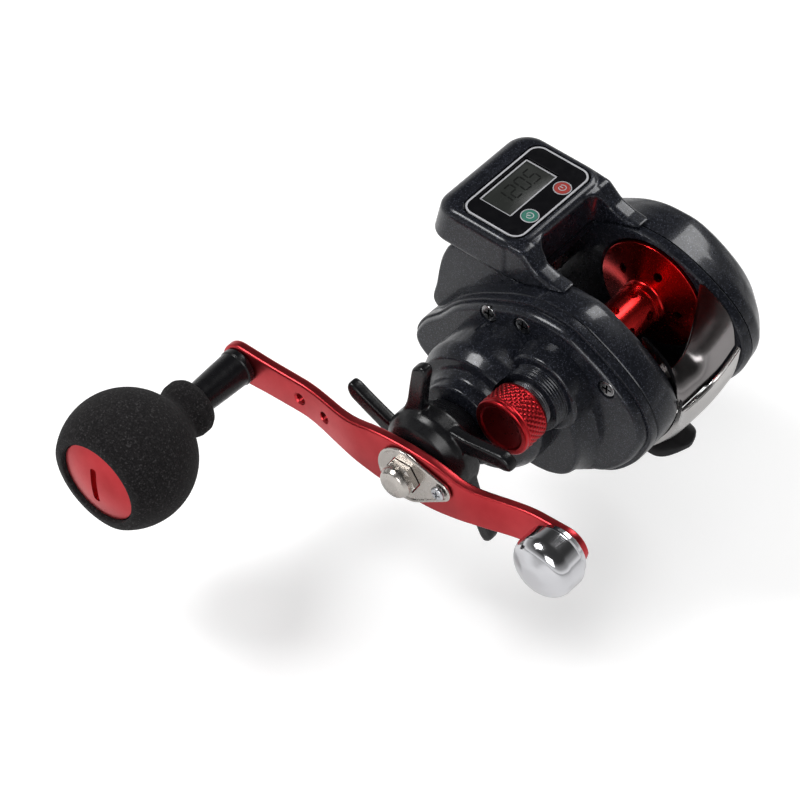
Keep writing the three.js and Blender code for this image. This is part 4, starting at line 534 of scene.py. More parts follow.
def makeSideCover():
    c = sideCover
    ledge = [(c["seam"], 0.25), (c["seam"] - 0.2, 0), (-26.5, 0), (-27, 0.2), (c["ledgeAt"], 0.5),
             (c["ledgeAt"], c["ledge"])]
    rise = [(x, c["ledge"] + inset) for x, inset in crown(c["ledgeAt"] - 0.05, c["face"], c["crown"])]
    base = sideLoft("sideCover", ledge + rise)
    boss = turned("boss", [
        (-26, 0, 0), (-26, c["bossRadius"], 0), (c["bossEnd"] + 4, c["bossRadius"], 6),
        (c["bossEnd"], c["bossRadius"] - 2.2, 1.2), (c["bossEnd"], 15.4, 2), (c["bossEnd"] - 2, 13.6, 2),
        (c["towerEnd"], c["towerRadius"], 0.8), (c["towerEnd"], 0, 0)], driveAxis)
    skirt = carried("skirt", sharedLoop(skirtShares, sideReach["tail"], sideReach["belly"]), [
        (-26, -3.6), (-29.2, -3.6), (-30.2, -2.3), (-31.6, -1.2), (-33.2, -0.45), (-34.6, -0.1),
        (c["skirtEnd"] + 1, 0.1), (c["skirtEnd"] + 0.3, 0.5), (c["skirtEnd"], 1.3)])
    combined(skirt, [sideLoft("limit", [(-25, 1.4), (-29, 1.7), (-38, 2.2)])], "INTERSECT")
    combined(base, [boss, skirt])
    cutBy(base, [rod("capRoom", c["collarEnd"], -60, c["capRoom"], sides=96)])

    # ridges round the collar, as waves along it
    def ridged(x, a):
        wave = np.cos(2 * np.pi * (x - ridge["from"]) / ridge["pitch"]) - 1
        return np.where((x < ridge["from"]) & (x > ridge["to"]), ridge["depth"] * wave, 0)
    flank = [(c["collarStep"] - 0.5 - 0.1 * k, c["collar"] - 0.02, 0) for k in range(34)]
    combined(base, [turned("collar", [
        (-26, 0, 0), (-26, c["collarBase"], 0), (c["collarStep"], c["collarBase"] - 1.4, 1.2),
        (c["collarStep"], c["collar"], 0.3), *flank, (c["collarEnd"], c["collar"] - 0.2, 0.3),
        (c["collarEnd"], 0, 0)], ripple=ridged)])
    room = sideLoft("room", [(-23, c["wall"]), (-28, c["wall"] + 0.6), (-28.4, c["wall"] + 2)], 4)
    gearRoom = rod("gearRoom", -23, c["gearRoomEnd"], c["gearRoom"], driveAxis, 64)
    cutBy(gearRoom, [rod("rim", -39.7, -60, 11.6, sides=64)])
    cuts = [room, gearRoom, rod("bore", -22, -50, 1.9), rod("pinionRoom", -22, -39.2, 4.4),
            rod("sleeveBore", -40, -55, 5, driveAxis, 48), rod("oneWaySeat", -40, -50.2, 7.7, driveAxis, 48)]
    for axis in screwPlaces.values():
        cuts += [rod("recess", -35, -28.7, 2.9, axis, 40), rod("shank", -35, -20, 1.5, axis, 24)]
    cutBy(base, cuts)
    finished(base, paint, "handle_side_cover", even=True)


# the threaded neck that the cast control cap screws onto: a wave that runs round as a helix
def makeNeck():
    def helix(x, a):
        wave = np.sin(2 * np.pi * x / thread["pitch"] + a)
        return np.where((x < thread["from"]) & (x > thread["to"]), thread["depth"] * wave, 0)
    r = thread["radius"]
    flank = [(-41.2 - 0.05 * k, r, 0) for k in range(108)]
    piece = turned("threadedNeck", flank + [
        (-46.6, r, 0), (-46.6, 1.95, 0), (-44.8, 1.95, 0), (-44.8, 5.1, 0), (-41.2, 5.1, 0)],
                   sides=72, ripple=helix, loop=True)
    finished(piece, darkSteel, None, "body")


makeSideCover()
makeNeck()
for where, axis in screwPlaces.items():
    cross = ((sideScrew["head"] * 0.62, 0.34), (0.34, sideScrew["head"] * 0.62))
    finished(screw("sideScrew." + where, axis, sideScrew, cross), blackChrome, "side_screw_" + where)
print("handle side cover made")


# Frame: two plates with the spool opening, cheeks with their bridge, nose bar, floor and rear bar

plate = {"handleSeam": -24, "palmSeam": 16.5, "opening": 17.6, "chamfer": 0.7, "screwHole": 1.5,
         "cheekFront": 49, "bridgeTop": 14.2, "battery": (0, 35), "batteryHole": 9.7}
cheekShares = [
    (0.3, 0.95), (0.42, 1), (0.93, 1), (1, 0.62), (1.05, -0.3), (1.065, -0.84), (0.9, -1.1), (0.5, -0.6)]
footScrewsAt = {"rear": -9.5, "front": 21}
stub = (-22.3, 3.2)  # of the thumb bar, in a slot of the handle plate


def makeFrame():
    half, seam, palm = openingHalf, plate["handleSeam"], plate["palmSeam"]
    body = sideLoft("frame", [
        (seam, 0.5), (seam + 0.3, 0.12), (seam + 0.8, 0), (-half - 3.2, 0.3), (-half - 1.4, 0.8),
        (-half - 0.4, 1.3), (-half, 2)])
    cutBy(body, [sideLoft("pocket", [(seam - 1, 1.8), (-18.5, 1.8)])])
    palmPlate = sideLoft("palmPlate", [
        (half, 2), (half + 0.4, 1.3), (half + 1.4, 0.8), (palm - 0.4, 0.6), (palm, 0.9)])
    cheekLine = sharedLoop(cheekShares, plate["cheekFront"], plate["bridgeTop"], 8)
    cheeks = [carried("cheek", cheekLine, rounded(x0, x1, 0.8))
              for x0, x1 in ((-half - 6, -half), (half, palm))]
    bridge = prism("bridge", softBox(-half - 6, palm, 21.8, 46.6, 3), 11.5, plate["bridgeTop"], "xy")
    bars = [prism(name, softBox(*box), -half - 0.2, half + 0.2) for name, box in (
        ("noseBar", (43.2, 50.2, -23.4, -15.4, 2.4)), ("floorPlate", (-16.6, 43, -31.3, -28.3, 1)),
        ("rearBar", (-16.6, -12.6, -31.3, -24.3, 1)))]
    post = [(seam + 0.05, 0, 0), (seam + 0.05, 3.1, 0.3), (-18, 3.1, 0), (-18, 0, 0)]
    posts = [turned("post", post, axis, 32) for axis in screwPlaces.values()]
    combined(body, [palmPlate, *cheeks, bridge, *bars, *posts])
    cuts = []
    narrow, wider = plate["opening"], plate["opening"] + plate["chamfer"]
    for way, deep in ((-1, -15.5), (1, 18)):
        mouth, edge, near = way * (half + plate["chamfer"]), way * (half - 0.1), way * (half - 1)
        cuts.append(turned("opening", [
            (deep, 0, 0), (deep, narrow, 0), (mouth, narrow, 0.3), (edge, wider, 0), (near, wider, 0),
            (near, 0, 0)], sides=128))
    cuts += [
        rod("pinionSeat", -20, -14, 6.5, sides=48), rod("shaftSeat", -20, -14, 6.5, driveAxis, 48),
        rod("wormBore", -20, 15.25, 2.2, wormAxis),
        rod("barBore", -14.95, 14.95, 1.6, (wormAxis[0] + 2, wormAxis[1] - 6.8)),
        prism("stubSlot", softBox(stub[0] - 2.2, stub[0] + 2.2, stub[1] - 4.9, stub[1] + 1.9, 0.8), -20, -12),
        prism("batteryHole", ring(plate["batteryHole"], 64, plate["battery"]), 10, 16, "xy")]
    cuts += [rod("screwHole", -26, -20.2, plate["screwHole"], axis, 24) for axis in screwPlaces.values()]
    cuts += [prism("footHole", ring(plate["screwHole"], 24, (0, y)), -34, -27, "xy")
             for y in footScrewsAt.values()]
    cutBy(body, cuts)
    finished(body, paint, "frame", sharp=28)


# Palm side cover, its dome drawn in as it goes out: shares of the way out, then of the depth by which
# nose, tail, top and belly are drawn in

palmCover = {"seam": 16.8, "outer": 30.5, "wall": 1.6, "depth": 14}
domeShares = [
    (0, 0.06, 0.06, 0.06, 0.06), (0.3, 0.1, 0.1, 0.065, 0.1), (0.66, 0.24, 0.36, 0.09, 0.2),
    (0.88, 0.38, 0.6, 0.13, 0.34), (0.97, 0.46, 0.7, 0.22, 0.44), (1, 0.58, 0.82, 0.34, 0.56)]


def makePalmCover():
    seam, outer, wall = palmCover["seam"], palmCover["outer"], palmCover["wall"]
    fine = np.linspace(0, len(domeShares) - 1, 61)
    shares = [np.interp(fine, range(len(domeShares)), column) for column in zip(*domeShares)]
    kernel = np.hanning(11) / np.hanning(11).sum()
    eased = np.stack([np.convolve(np.pad(share, 5, mode="edge"), kernel, "valid") for share in shares], 1)
    eased[0], eased[-1] = domeShares[0], domeShares[-1]

    def dome(name, start, inner):
        return sideLoft(name, [
            (start + (outer - inner - start) * row[0],
             {end: row[1 + k] * palmCover["depth"] + inner for k, end in enumerate(sideReach)})
            for row in eased])
    cover = cutBy(dome("palmCover", seam, 0), [dome("palmRoom", seam - 1, wall)])
    top = outer - wall
    boss = turned("palmBoss", [
        (seam + 0.3, 0, 0), (seam + 0.3, 6.6, 0.3), (top + 0.3, 6.6, 0), (top + 0.3, 0, 0)], sides=48)
    cutBy(boss, [rod("clipRoom", top - wall - 0.4, top, 3.9, dialAxis, 40)])
    combined(cover, [boss])
    cutBy(cover, [rod("seat", 10, 20, 5.1, sides=48), rod("shaftRoom", 16, 28.9, 1.95),
                  rod("stemBore", 27, 33, 2.4, dialAxis)])
    finished(cover, paint, "palm_side_cover", sharp=40)


# Brake dial: a disc with a notched rim, clipped through the palm side cover

dial = {"start": 30.8, "end": 33.4, "radius": 9, "notches": 28, "depth": 0.16, "stem": 2, "clip": 3.4}


def makeDial():
    start, end, radius = dial["start"], dial["end"], dial["radius"]

    def notched(x, a):
        wave = dial["depth"] * np.cos(dial["notches"] * a) - 0.1
        return np.where((x > start) & (x < end - 0.7), wave, 0)
    piece = turned("brakeDial", [
        (27.3, 0, 0), (27.3, dial["clip"], 0.2), (28.6, dial["clip"], 0), (28.6, dial["stem"], 0),
        (start, dial["stem"], 0), (start, radius - 0.2, 0.2), (end - 0.9, radius - 0.2, 0.2),
        (end, radius - 1.6, 0.5), (end, 5.4, 0.4), (end - 0.5, 5, 0.3), (end - 0.5, 0, 0)],
                   dialAxis, 192, ripple=notched)
    finished(piece, satinBlack, "brake_dial")
    mark = softBoxAt((dialAxis[0], dialAxis[1] + 6.4), 0.35, 0.8, 0.2, 2)
    finished(prism("dialMark", mark, end - 0.3, end - 0.02), silverInk, None, "dial")


makeFrame()
makePalmCover()
makeDial()
print("frame and palm side made")


# Counter: housing with two legs over the rings, panel, display and buttons

counter = {"half": 20, "rear": 21.5, "front": 51.5, "flare": 3.5, "top": 27.5, "under": 14.5, "corner": 6.5,
           "edge": 2.4, "wall": 1.6, "roof": 2.4, "legTip": 8.2, "legWidth": 6.4, "bend": 4.5}
panel = {"half": 17.2, "rear": 24.5, "front": 45.5, "thickness": 0.9, "corner": 4, "edge": 0.35}
window = (-10.5, 10.5, 32.5, 43.7)
buttonsAt = {"power": (-7.2, 28.3), "reset": (7.2, 28.3)}
buttonHole = 2.7


def makeHousing():
    c = counter
    half, rear, front, top, edge = (c[key] for key in ("half", "rear", "front", "top", "edge"))
    under, flare = c["under"], c["flare"]

    def layer(z, inset, more):
        corner = c["corner"] - inset * 0.5
        flat = softBox(-half + inset, half - inset, rear + inset, front + more - inset, corner, 10)
        return np.concatenate([flat, np.full((len(flat), 1), z)], 1)
    # the front leans back as it rises, then the top edge rounds over
    t = np.linspace(0, 1, 8)[1:]
    a = np.linspace(0, np.pi / 2, 9)[1:]
    rings = [layer(under, 0.5, flare), layer(under + 1, 0, flare)]
    rings += [layer(under + 1 + (top - edge - under - 1) * u, 0, flare + (edge * 0.6 - flare) * u)
              for u in t]
    rings += [layer(top - edge * (1 - math.sin(u)), edge * (1 - math.cos(u)), edge * 0.6 * (1 - math.sin(u)))
              for u in a]
    box = skinned("counterHousing", rings)
    legTop = top - edge * 0.3
    tip = c["legTip"]
    leg = filleted([
        (tip, 16.4, 0), (rear + 6.5, under, 0), (rear + 6.5, legTop, 0), (rear - 0.6, legTop, 3.5),
        (16.4, 22.7, 6), (11.5, 21.1, 3), (tip - 1.6, 20.6, 0.4), (tip - 1.8, 19, 0)], 8, True)
    legs = [carried("leg", leg, rounded(x, x + c["legWidth"], 1.6, 5))
            for x in (-openingHalf - c["legWidth"], openingHalf)]
    # the corner between a leg and the rear wall is filled to a round bend
    bend = c["bend"]
    a = np.linspace(0, np.pi / 2, 12)
    for way in (-1, 1):
        arc = np.stack([way * (openingHalf - bend + bend * np.cos(a)), rear - bend + bend * np.sin(a)], -1)
        near, far = way * (openingHalf - bend), way * (openingHalf + 0.6)
        corner = np.concatenate([arc, [(near, rear + 1), (far, rear + 1), (far, rear - bend)]])
        fill = prism("fill", corner[::way], under + 2, top, "xy")
        legs.append(combined(fill, [prism("legAcross", leg, -16, 16)], "INTERSECT"))
    combined(box, legs)
    moulded(box, 0.38)
    wall, roof = c["wall"], top - c["roof"]
    inside = softBox(-half + wall, half - wall, rear + wall, front - wall, c["corner"] - wall)
    panelHole = softBox(-panel["half"] - gap, panel["half"] + gap, panel["rear"] - gap, panel["front"] + gap,
                        panel["corner"])
    cuts = [prism("room", inside, under - 1, roof, "xy")]
    cuts += [sideLoft("plateRoom", [(x0, -gap), (x1, -gap)]) for x0, x1 in ((-30, -13.1), (13.1, 30.5))]
    cuts += [prism("panelRoom", panelHole, top - panel["thickness"] - gap, top + 1, "xy"),
             prism("lcdRoom", softBox(-12.3, 12.3, 31.3, 45.5, 0.5), roof - 1, top, "xy")]
    cuts += [prism("buttonRoom", ring(buttonHole, 40, at), roof - 1, top, "xy") for at in buttonsAt.values()]
    cutBy(box, cuts)
    finished(box, paint, "counter_housing", sharp=45)


def makePanel():
    top = counter["top"]
    low, edge = top - panel["thickness"], panel["edge"]
    outline = softBox(-panel["half"], panel["half"], panel["rear"], panel["front"], panel["corner"], 10)
    rim = [(top - edge * (1 - math.sin(t)), edge * (1 - math.cos(t))) for t in np.linspace(0, np.pi / 2, 5)]
    piece = carried("displayPanel", outline, [(low, 0)] + rim, "xy")
    cutBy(piece, [prism("window", softBox(-10.8, 10.8, 32.2, 44, 0.5), low - 1, top + 1, "xy")] +
          [prism("hole", ring(buttonHole, 48, at), low - 1, top + 1, "xy") for at in buttonsAt.values()])
    finished(piece, panelBlack, "display_panel")
    finished(edging("panelLine", outline, 0.3, 0.85, top - 0.1, top + 0.04), silverInk, None, "body")
    for name, (x, y) in buttonsAt.items():
        loop = turned(name + "Ring", [(0, 2.41, 0.04), (0, 2.67, 0.04), (0.2, 2.67, 0.04), (0.2, 2.41, 0.04)],
                      sides=64, loop=True)
        finished(upright(loop, x, y, top - 0.05), silverInk, None, "body")


# Figures of seven bars: each bar's middle in shares of the figure, and whether it stands

bars = {"a": (0.5, 1, 0), "b": (1, 0.75, 1), "c": (1, 0.25, 1), "d": (0.5, 0, 0), "e": (0, 0.25, 1),
        "f": (0, 0.75, 1), "g": (0.5, 0.5, 0)}
lit = {"1": "bc", "2": "abged", "0": "abcdef", "5": "afgcd"}
figure = {"shown": "1205", "start": (-7.6, 35.9), "step": 4.1, "wide": 2.7, "tall": 5, "bar": 0.5,
          "slant": 0.09, "thickness": 0.03, "point": (4.45, 35.85)}


def makeDisplay():
    top = counter["top"] - panel["thickness"] - gap
    base = prism("lcdModule", softBox(-12, 12, 31.6, 45.2, 0.4, 3), top - 2.4, top, "xy")
    glass = softBox(*window, 0.5, 4)
    combined(base, [carried("lcdGlass", glass, [(top - 0.2, 0), (top + 0.5, 0), (top + 0.54, 0.08)], "xy")])
    finished(base, lcdGlass, "lcd_module")
    # each bar is a thin hexagon laid on the glass
    face = top + 0.53
    back = face + figure["thickness"]
    wide, tall, end = figure["wide"], figure["tall"], figure["bar"] / 2
    parts = []
    for place, sign in enumerate(figure["shown"]):
        x0, y0 = figure["start"][0] + place * figure["step"], figure["start"][1]
        for key in lit[sign]:
            cx, cy, standing = bars[key]
            long = (tall / 2 if standing else wide) / 2 - 0.14
            flat = np.array([(-long, 0), (-long + end, -end), (long - end, -end), (long, 0),
                             (long - end, end), (-long + end, end)])
            flat = flat[:, ::-1] * (1, -1) if standing else flat
            flat = flat + (x0 + cx * wide, y0 + cy * tall)
            flat[:, 0] += (flat[:, 1] - y0) * figure["slant"]
            parts.append(prism("bar", flat, face, back, "xy"))
    parts.append(prism("point", softBoxAt(figure["point"], 0.25, 0.25, 0.1, 2), face, back, "xy"))
    finished(gathered("lcdFigures", parts), digitInk, None, "body")
    finished(edging("lcdRim", glass, 0.02, 0.5, top + 0.45, back), silverInk, None, "body")


# Buttons: collars under the panel, shallow domes over it, each with an open circle and a bar as its mark

button = {"foot": -5.4, "stem": 2.4, "collar": 2.9, "radius": 2.35, "rise": 0.34, "middle": 0.18,
          "markOuter": 1.2, "markInner": 0.95}


def makeButtons():
    top, b = counter["top"], button
    a = np.linspace(math.radians(60), math.radians(-240), 40)
    circle = np.stack([np.cos(a), np.sin(a)], -1)
    loop = np.concatenate([b["markOuter"] * circle, b["markInner"] * circle[::-1]])
    bar = softBoxAt((0, 0.4), 0.15, 0.6, 0)
    for key, dome, turn in (("power", greenDome, 30), ("reset", redDome, 0)):
        piece = turned(key + "Button", [
            (b["foot"], 0, 0), (b["foot"], b["stem"], 0.1), (-3.2, b["stem"], 0), (-3.2, b["collar"], 0.1),
            (-2.7, b["collar"], 0.1), (-2.7, b["radius"], 0), (b["rise"], b["radius"], 0.35),
            (b["middle"], 1.4, 2), (b["middle"], 0, 0)], sides=64)
        finished(upright(piece, *buttonsAt[key], top), dome, key + "_button")
        marks = [prism("mark", swung(flat, math.radians(turn)) + buttonsAt[key], top + 0.1, top + 0.24, "xy")
                 for flat in (loop, bar)]
        finished(gathered(key + "Mark", marks), silverInk, None, key)


makeHousing()
makePanel()
makeDisplay()
makeButtons()
print("counter made")


# Thumb bar and rear cover: bands between an upper and a lower edge that rise towards the sides

thumb = {"half": 13.1, "power": 3.4, "top": ((-17.9, -7.5), (-16.8, 14.6)), "low": ((-25.2, -15), (-29, -2)),
         "bulge": (1.6, 4), "thickness": 1.6}
rearCover = {"proud": 2, "lap": 0.5, "low": (-19.5, -28.5), "thickness": 1.2, "bulge": 3.2}


# at each X the section runs from its top to its low point and bulges out as a half sine wave; each of
# top, low and bulge goes from its middle to its side value as |x / half| to a power, the wall goes
# inwards by its thickness, and both edges roll over as half ellipses
def band(name, tops, lows, bulges, thickness):
    x = thumb["half"] * np.sin(np.linspace(-np.pi / 2, np.pi / 2, 97))
    rise = (np.abs(x) / thumb["half"])[:, None] ** thumb["power"]
    top, low, bulge = (np.array(middle) * (1 - rise) + np.array(side) * rise
                       for middle, side in (tops, lows, bulges))
    along = (low - top) / np.linalg.norm(low - top, axis=1, keepdims=True)
    out = np.stack([along[:, 1], -along[:, 0]], -1)[:, None]
    along = along[:, None]
    share = np.linspace(0, 1, 41)[None, :, None]
    outer = top[:, None] * (1 - share) + low[:, None] * share + out * (bulge[:, None] * np.sin(np.pi * share))
    inner = outer[:, ::-1] - out * thickness
    lip = np.linspace(0, np.pi, 7)[None, 1:-1, None]
    roll = out * (np.cos(lip) - 1) * thickness / 2 + along * (np.sin(lip) - 1) * thickness * 0.3
    rollBack = out * (-np.cos(lip) - 1) * thickness / 2 - along * (np.sin(lip) - 1) * thickness * 0.3
    lowEdge, topEdge = outer[:, -1:] + roll, outer[:, :1] + rollBack
    section = np.concatenate([outer[:, :-1], lowEdge, inner[:, 1:-1], topEdge], 1)
    level = np.broadcast_to(x[:, None, None], (*section.shape[:2], 1))
    return skinned(name, np.concatenate([level, section], 2))


def makeThumbBar():
    bar = band("thumbBar", thumb["top"], thumb["low"], thumb["bulge"], thumb["thickness"])
    combined(bar, [prism("stub", softBoxAt(stub, 1.8, 1.5, 0.6), -18.8, -11.6)])
    finished(bar, smokeChrome, "thumb_bar", sharp=40)


def makeRearCover():
    r = rearCover
    raised = [(y - r["proud"], z + r["lap"]) for y, z in thumb["low"]]
    back = band("rearCover", raised, (r["low"], r["low"]), (r["bulge"], r["bulge"]), r["thickness"])
    finished(back, satinChrome, "rear_cover", sharp=50)


makeThumbBar()
makeRearCover()
print("thumb bar and rear cover made")


# Spool: hub and flanges in one profile, with bored flanges and hub

spool = {"radius": 17.2, "half": 14.6, "hub": 6.5, "hubHalf": 9.4, "sleeve": 3.3, "bore": 1.8, "port": 1.4,
         "ports": 5, "hubPortsAt": (-4.2, 4.2), "flangePortShare": 0.62}


def makeSpool():
    radius, half, hub, sleeve = (spool[key] for key in ("radius", "half", "hub", "sleeve"))
    right = [(6.9, hub, 0.1), (7, hub + 0.45, 0.15), (7.6, hub + 0.45, 0.15), (7.7, hub, 0.1),
             (spool["hubHalf"], hub, 1), (12.6, 16.2, 0.8), (12.9, radius, 0.25), (half, radius, 0.3),
             (half, 16.1, 0.2), (13.4, 14.8, 1.2), (11.1, 5.9, 1.2), (10.7, sleeve, 0.6), (13.8, sleeve, 0.3),
             (13.8, spool["bore"], 0.1)]
    left = [(-x, r, f) for x, r, f in right[::-1]]
    piece = turned("spoolBody", left + right, sides=128, loop=True)
    cuts = []
    for i in range(spool["ports"]):
        turn = 2 * math.pi * i / spool["ports"]
        for x in spool["hubPortsAt"]:
            port = upright(rod("hubPort", 0, 5.6, spool["port"], sides=24), x, 0, 2.6)
            cuts.append(spun(port, turn))
        port = rod("flangePort", -20, 20, spool["port"], (radius * spool["flangePortShare"], 0), 24)
        cuts.append(spun(port, turn + math.pi / spool["ports"]))
    cutBy(piece, cuts)
    finished(piece, spoolRed, "spool", sharp=40)


# Cast control cap: diamond knurl between smooth rims, dished front

castCap = {"seat": -44.3, "end": -53.8, "radius": 8.9, "bore": 7.7, "boreEnd": -49.6, "dish": 6.6,
           "lines": 30, "lineRadius": 8.8, "depth": 0.3}


def makeCastCap():
    c = castCap
    seat, end, radius = c["seat"], c["end"], c["radius"]

    # two sets of waves wind round the cap both ways, and their product leaves diamonds
    def diamond(x, a):
        about, along = c["lines"] / 2 * a, x * c["lines"] / c["lineRadius"] / 2
        knurl = np.abs(np.sin(about + along)) * np.abs(np.sin(about - along))
        return np.where((x < seat - 1.1) & (x > end + 2), c["depth"] * knurl - 0.2, 0)
    flank = [(-52 + 0.08 * k, radius, 0) for k in range(84)]
    dish = [(end + 0.9 - 0.5 * (r / 6.2) ** 2, r, 0) for r in (5.4, 4.2, 3, 1.8, 0.8, 0)]
    piece = turned("castCap", [
        (c["boreEnd"], 0, 0), (c["boreEnd"], c["bore"], 0.2), (seat, c["bore"], 0.1), (seat, 8.6, 0.3),
        (seat - 0.9, radius, 0.2), *flank[::-1], (-52.3, 8.6, 0.1), (-52.6, radius, 0.2), (end, radius, 0.9),
        (end, c["dish"] + 0.6, 0.3), (end + 0.35, c["dish"], 0.6), *dish], sides=384, ripple=diamond)
    finished(piece, capRed, "cast_control_cap", sharp=40)


# Star drag: domed hub with five swept arms that end in rounded tips; the arm's line is in shares of reach

star = {"hub": 14, "reach": 30.5, "phase": 10, "arms": 5, "armOuter": -64.2, "armInner": -60.4,
        "start": -52.2, "end": -69.6, "bore": 3.3}
starArmShares = [
    (0.3, -0.07), (0.52, -0.03), (0.8, 0.035), (0.93, 0.07), (0.985, 0.06), (1, 0.015), (0.985, -0.04),
    (0.94, -0.09), (0.8, -0.135), (0.52, -0.21), (0.3, -0.29)]


def makeStar():
    s = star
    piece = turned("starDrag", [
        (s["start"], 0, 0), (s["start"], 9.3, 0.6), (-54.8, 10.8, 1), (s["armInner"] + 0.6, s["hub"], 1.5),
        (s["armOuter"] - 0.4, s["hub"], 1.2), (-66.2, 13.2, 1.5), (s["end"] + 1, 11, 2), (s["end"], 8.6, 1),
        (s["end"], 0, 0)], driveAxis, 128)
    line = sharedLoop(starArmShares, s["reach"], s["reach"], 8)
    turns = [math.radians(s["phase"] + 360 / s["arms"] * i) for i in range(s["arms"])]
    levels = rounded(s["armOuter"], s["armInner"], 1, 5)
    combined(piece, [carried("arm", swung(line, turn) + driveAxis, levels) for turn in turns])
    moulded(piece, 0.33)
    cutBy(piece, [rod("bore", -80, -40, s["bore"], driveAxis, 48)])
    finished(piece, glossBlack, "star_drag", sharp=40)


# Handle arm: a flat bar, widest at the nut, with both ends set in towards the reel. Its width is given
# in shares of the way from the nut to either end and of hubHalf

arm = {"inner": -71.2, "outer": -74.2, "knobReach": 63.7, "weightReach": 50.8, "knobSet": 3.5,
       "weightSet": 4.5, "hubHalf": 9.6, "edge": 0.75, "bendFrom": 17, "bendTo": 42, "holes": (31.5, 41.5),
       "holeRadius": 1.6, "nutBore": 3.3, "knobBore": 2.5, "weightBore": 1.9}
widthShares = [(-1, 0.66), (-0.7, 0.62), (-0.42, 0.66), (-0.2, 0.94), (0, 1), (0.16, 0.95), (0.36, 0.68),
               (0.6, 0.61), (0.85, 0.62), (1, 0.68)]


# how far the arm is set in at s from the nut: smoothstep over the bend
def armSet(s):
    t = np.clip((np.abs(s) - arm["bendFrom"]) / (arm["bendTo"] - arm["bendFrom"]), 0, 1)
    return t * t * (3 - 2 * t) * np.where(np.asarray(s) > 0, arm["knobSet"], arm["weightSet"])


# a place on the arm at a distance from the nut
def onArm(at):
    return driveAxis[0] + at, driveAxis[1]


def makeArm():
    knots = np.array([(along * arm["knobReach" if along > 0 else "weightReach"], wide * arm["hubHalf"])
                      for along, wide in widthShares])
    s = np.linspace(-arm["weightReach"], arm["knobReach"], 161)
    kernel = np.hanning(23) / np.hanning(23).sum()
    wide = np.convolve(np.pad(np.interp(s, knots[:, 0], knots[:, 1]), 11, mode="edge"), kernel, "valid")
    # round tips
    t = np.linspace(0, np.pi / 2, 18)[1:]
    bulge, narrow = np.sin(t), np.maximum(np.cos(t), 0.04)
    s = np.concatenate([(s[0] - wide[0] * bulge)[::-1], s, s[-1] + wide[-1] * bulge])
    wide = np.concatenate([(wide[0] * narrow)[::-1], wide, wide[-1] * narrow])
    # the section: a flat bar whose edges are quarter rounds
    q = np.linspace(0, np.pi / 2, 5)
    depth, inset = arm["edge"] * (1 - np.cos(q)), arm["edge"] * (1 - np.sin(q))
    face = np.concatenate([depth, arm["inner"] - arm["outer"] - depth[::-1]])
    half = np.maximum(wide[:, None] - np.concatenate([inset, inset[::-1]])[None], 0.02)
    x = np.concatenate([face, face[::-1]])[None] + arm["outer"] + armSet(s)[:, None]
    y = np.concatenate([half, -half[:, ::-1]], 1)
    along = np.broadcast_to(s[:, None], y.shape)
    piece = skinned("handleArm", np.stack([x, along + driveAxis[0], y + driveAxis[1]], -1))
    bores = {0: arm["nutBore"], arm["knobReach"]: arm["knobBore"], -arm["weightReach"]: arm["weightBore"]}
    bores.update(dict.fromkeys(arm["holes"], arm["holeRadius"]))
    cuts = [rod("hole", -80, -60, radius, onArm(at), 40) for at, radius in bores.items()]
    for at in arm["holes"]:
        x0, r = arm["outer"] + float(armSet(at)), arm["holeRadius"]
        cuts.append(turned("sink", [(x0 - 1, 0, 0), (x0 - 1, r + 0.5, 0), (x0, r + 0.5, 0), (x0 + 0.5, r, 0),
                                    (x0 + 0.5, 0, 0)], onArm(at), 40))
    cutBy(piece, cuts)
    finished(tilted(piece), redAlloy, "handle_arm", sharp=40)


# Handle nut and its retainer, a drop shaped plate with a raised rim, held by a small screw at its tail

nut = {"seat": -74.5, "acrossCorners": 5.6, "crown": 4.9, "high": 6.2, "bore": 3.3}
retainer = {"radius": 9, "tail": 13.2, "tailRadius": 3.4, "turn": math.radians(171), "rim": 0.7}
tailAt = [centre + retainer["tail"] * share for centre, share in
          zip(driveAxis, (math.cos(retainer["turn"]), math.sin(retainer["turn"])))]
retainerScrew = {"head": 2.1, "shank": 0.9, "top": -77, "seat": -75.8, "end": -73, "floor": -76.4,
                 "round": 0.7, "rim": 0.1, "tip": 0.1, "corner": 0.15}


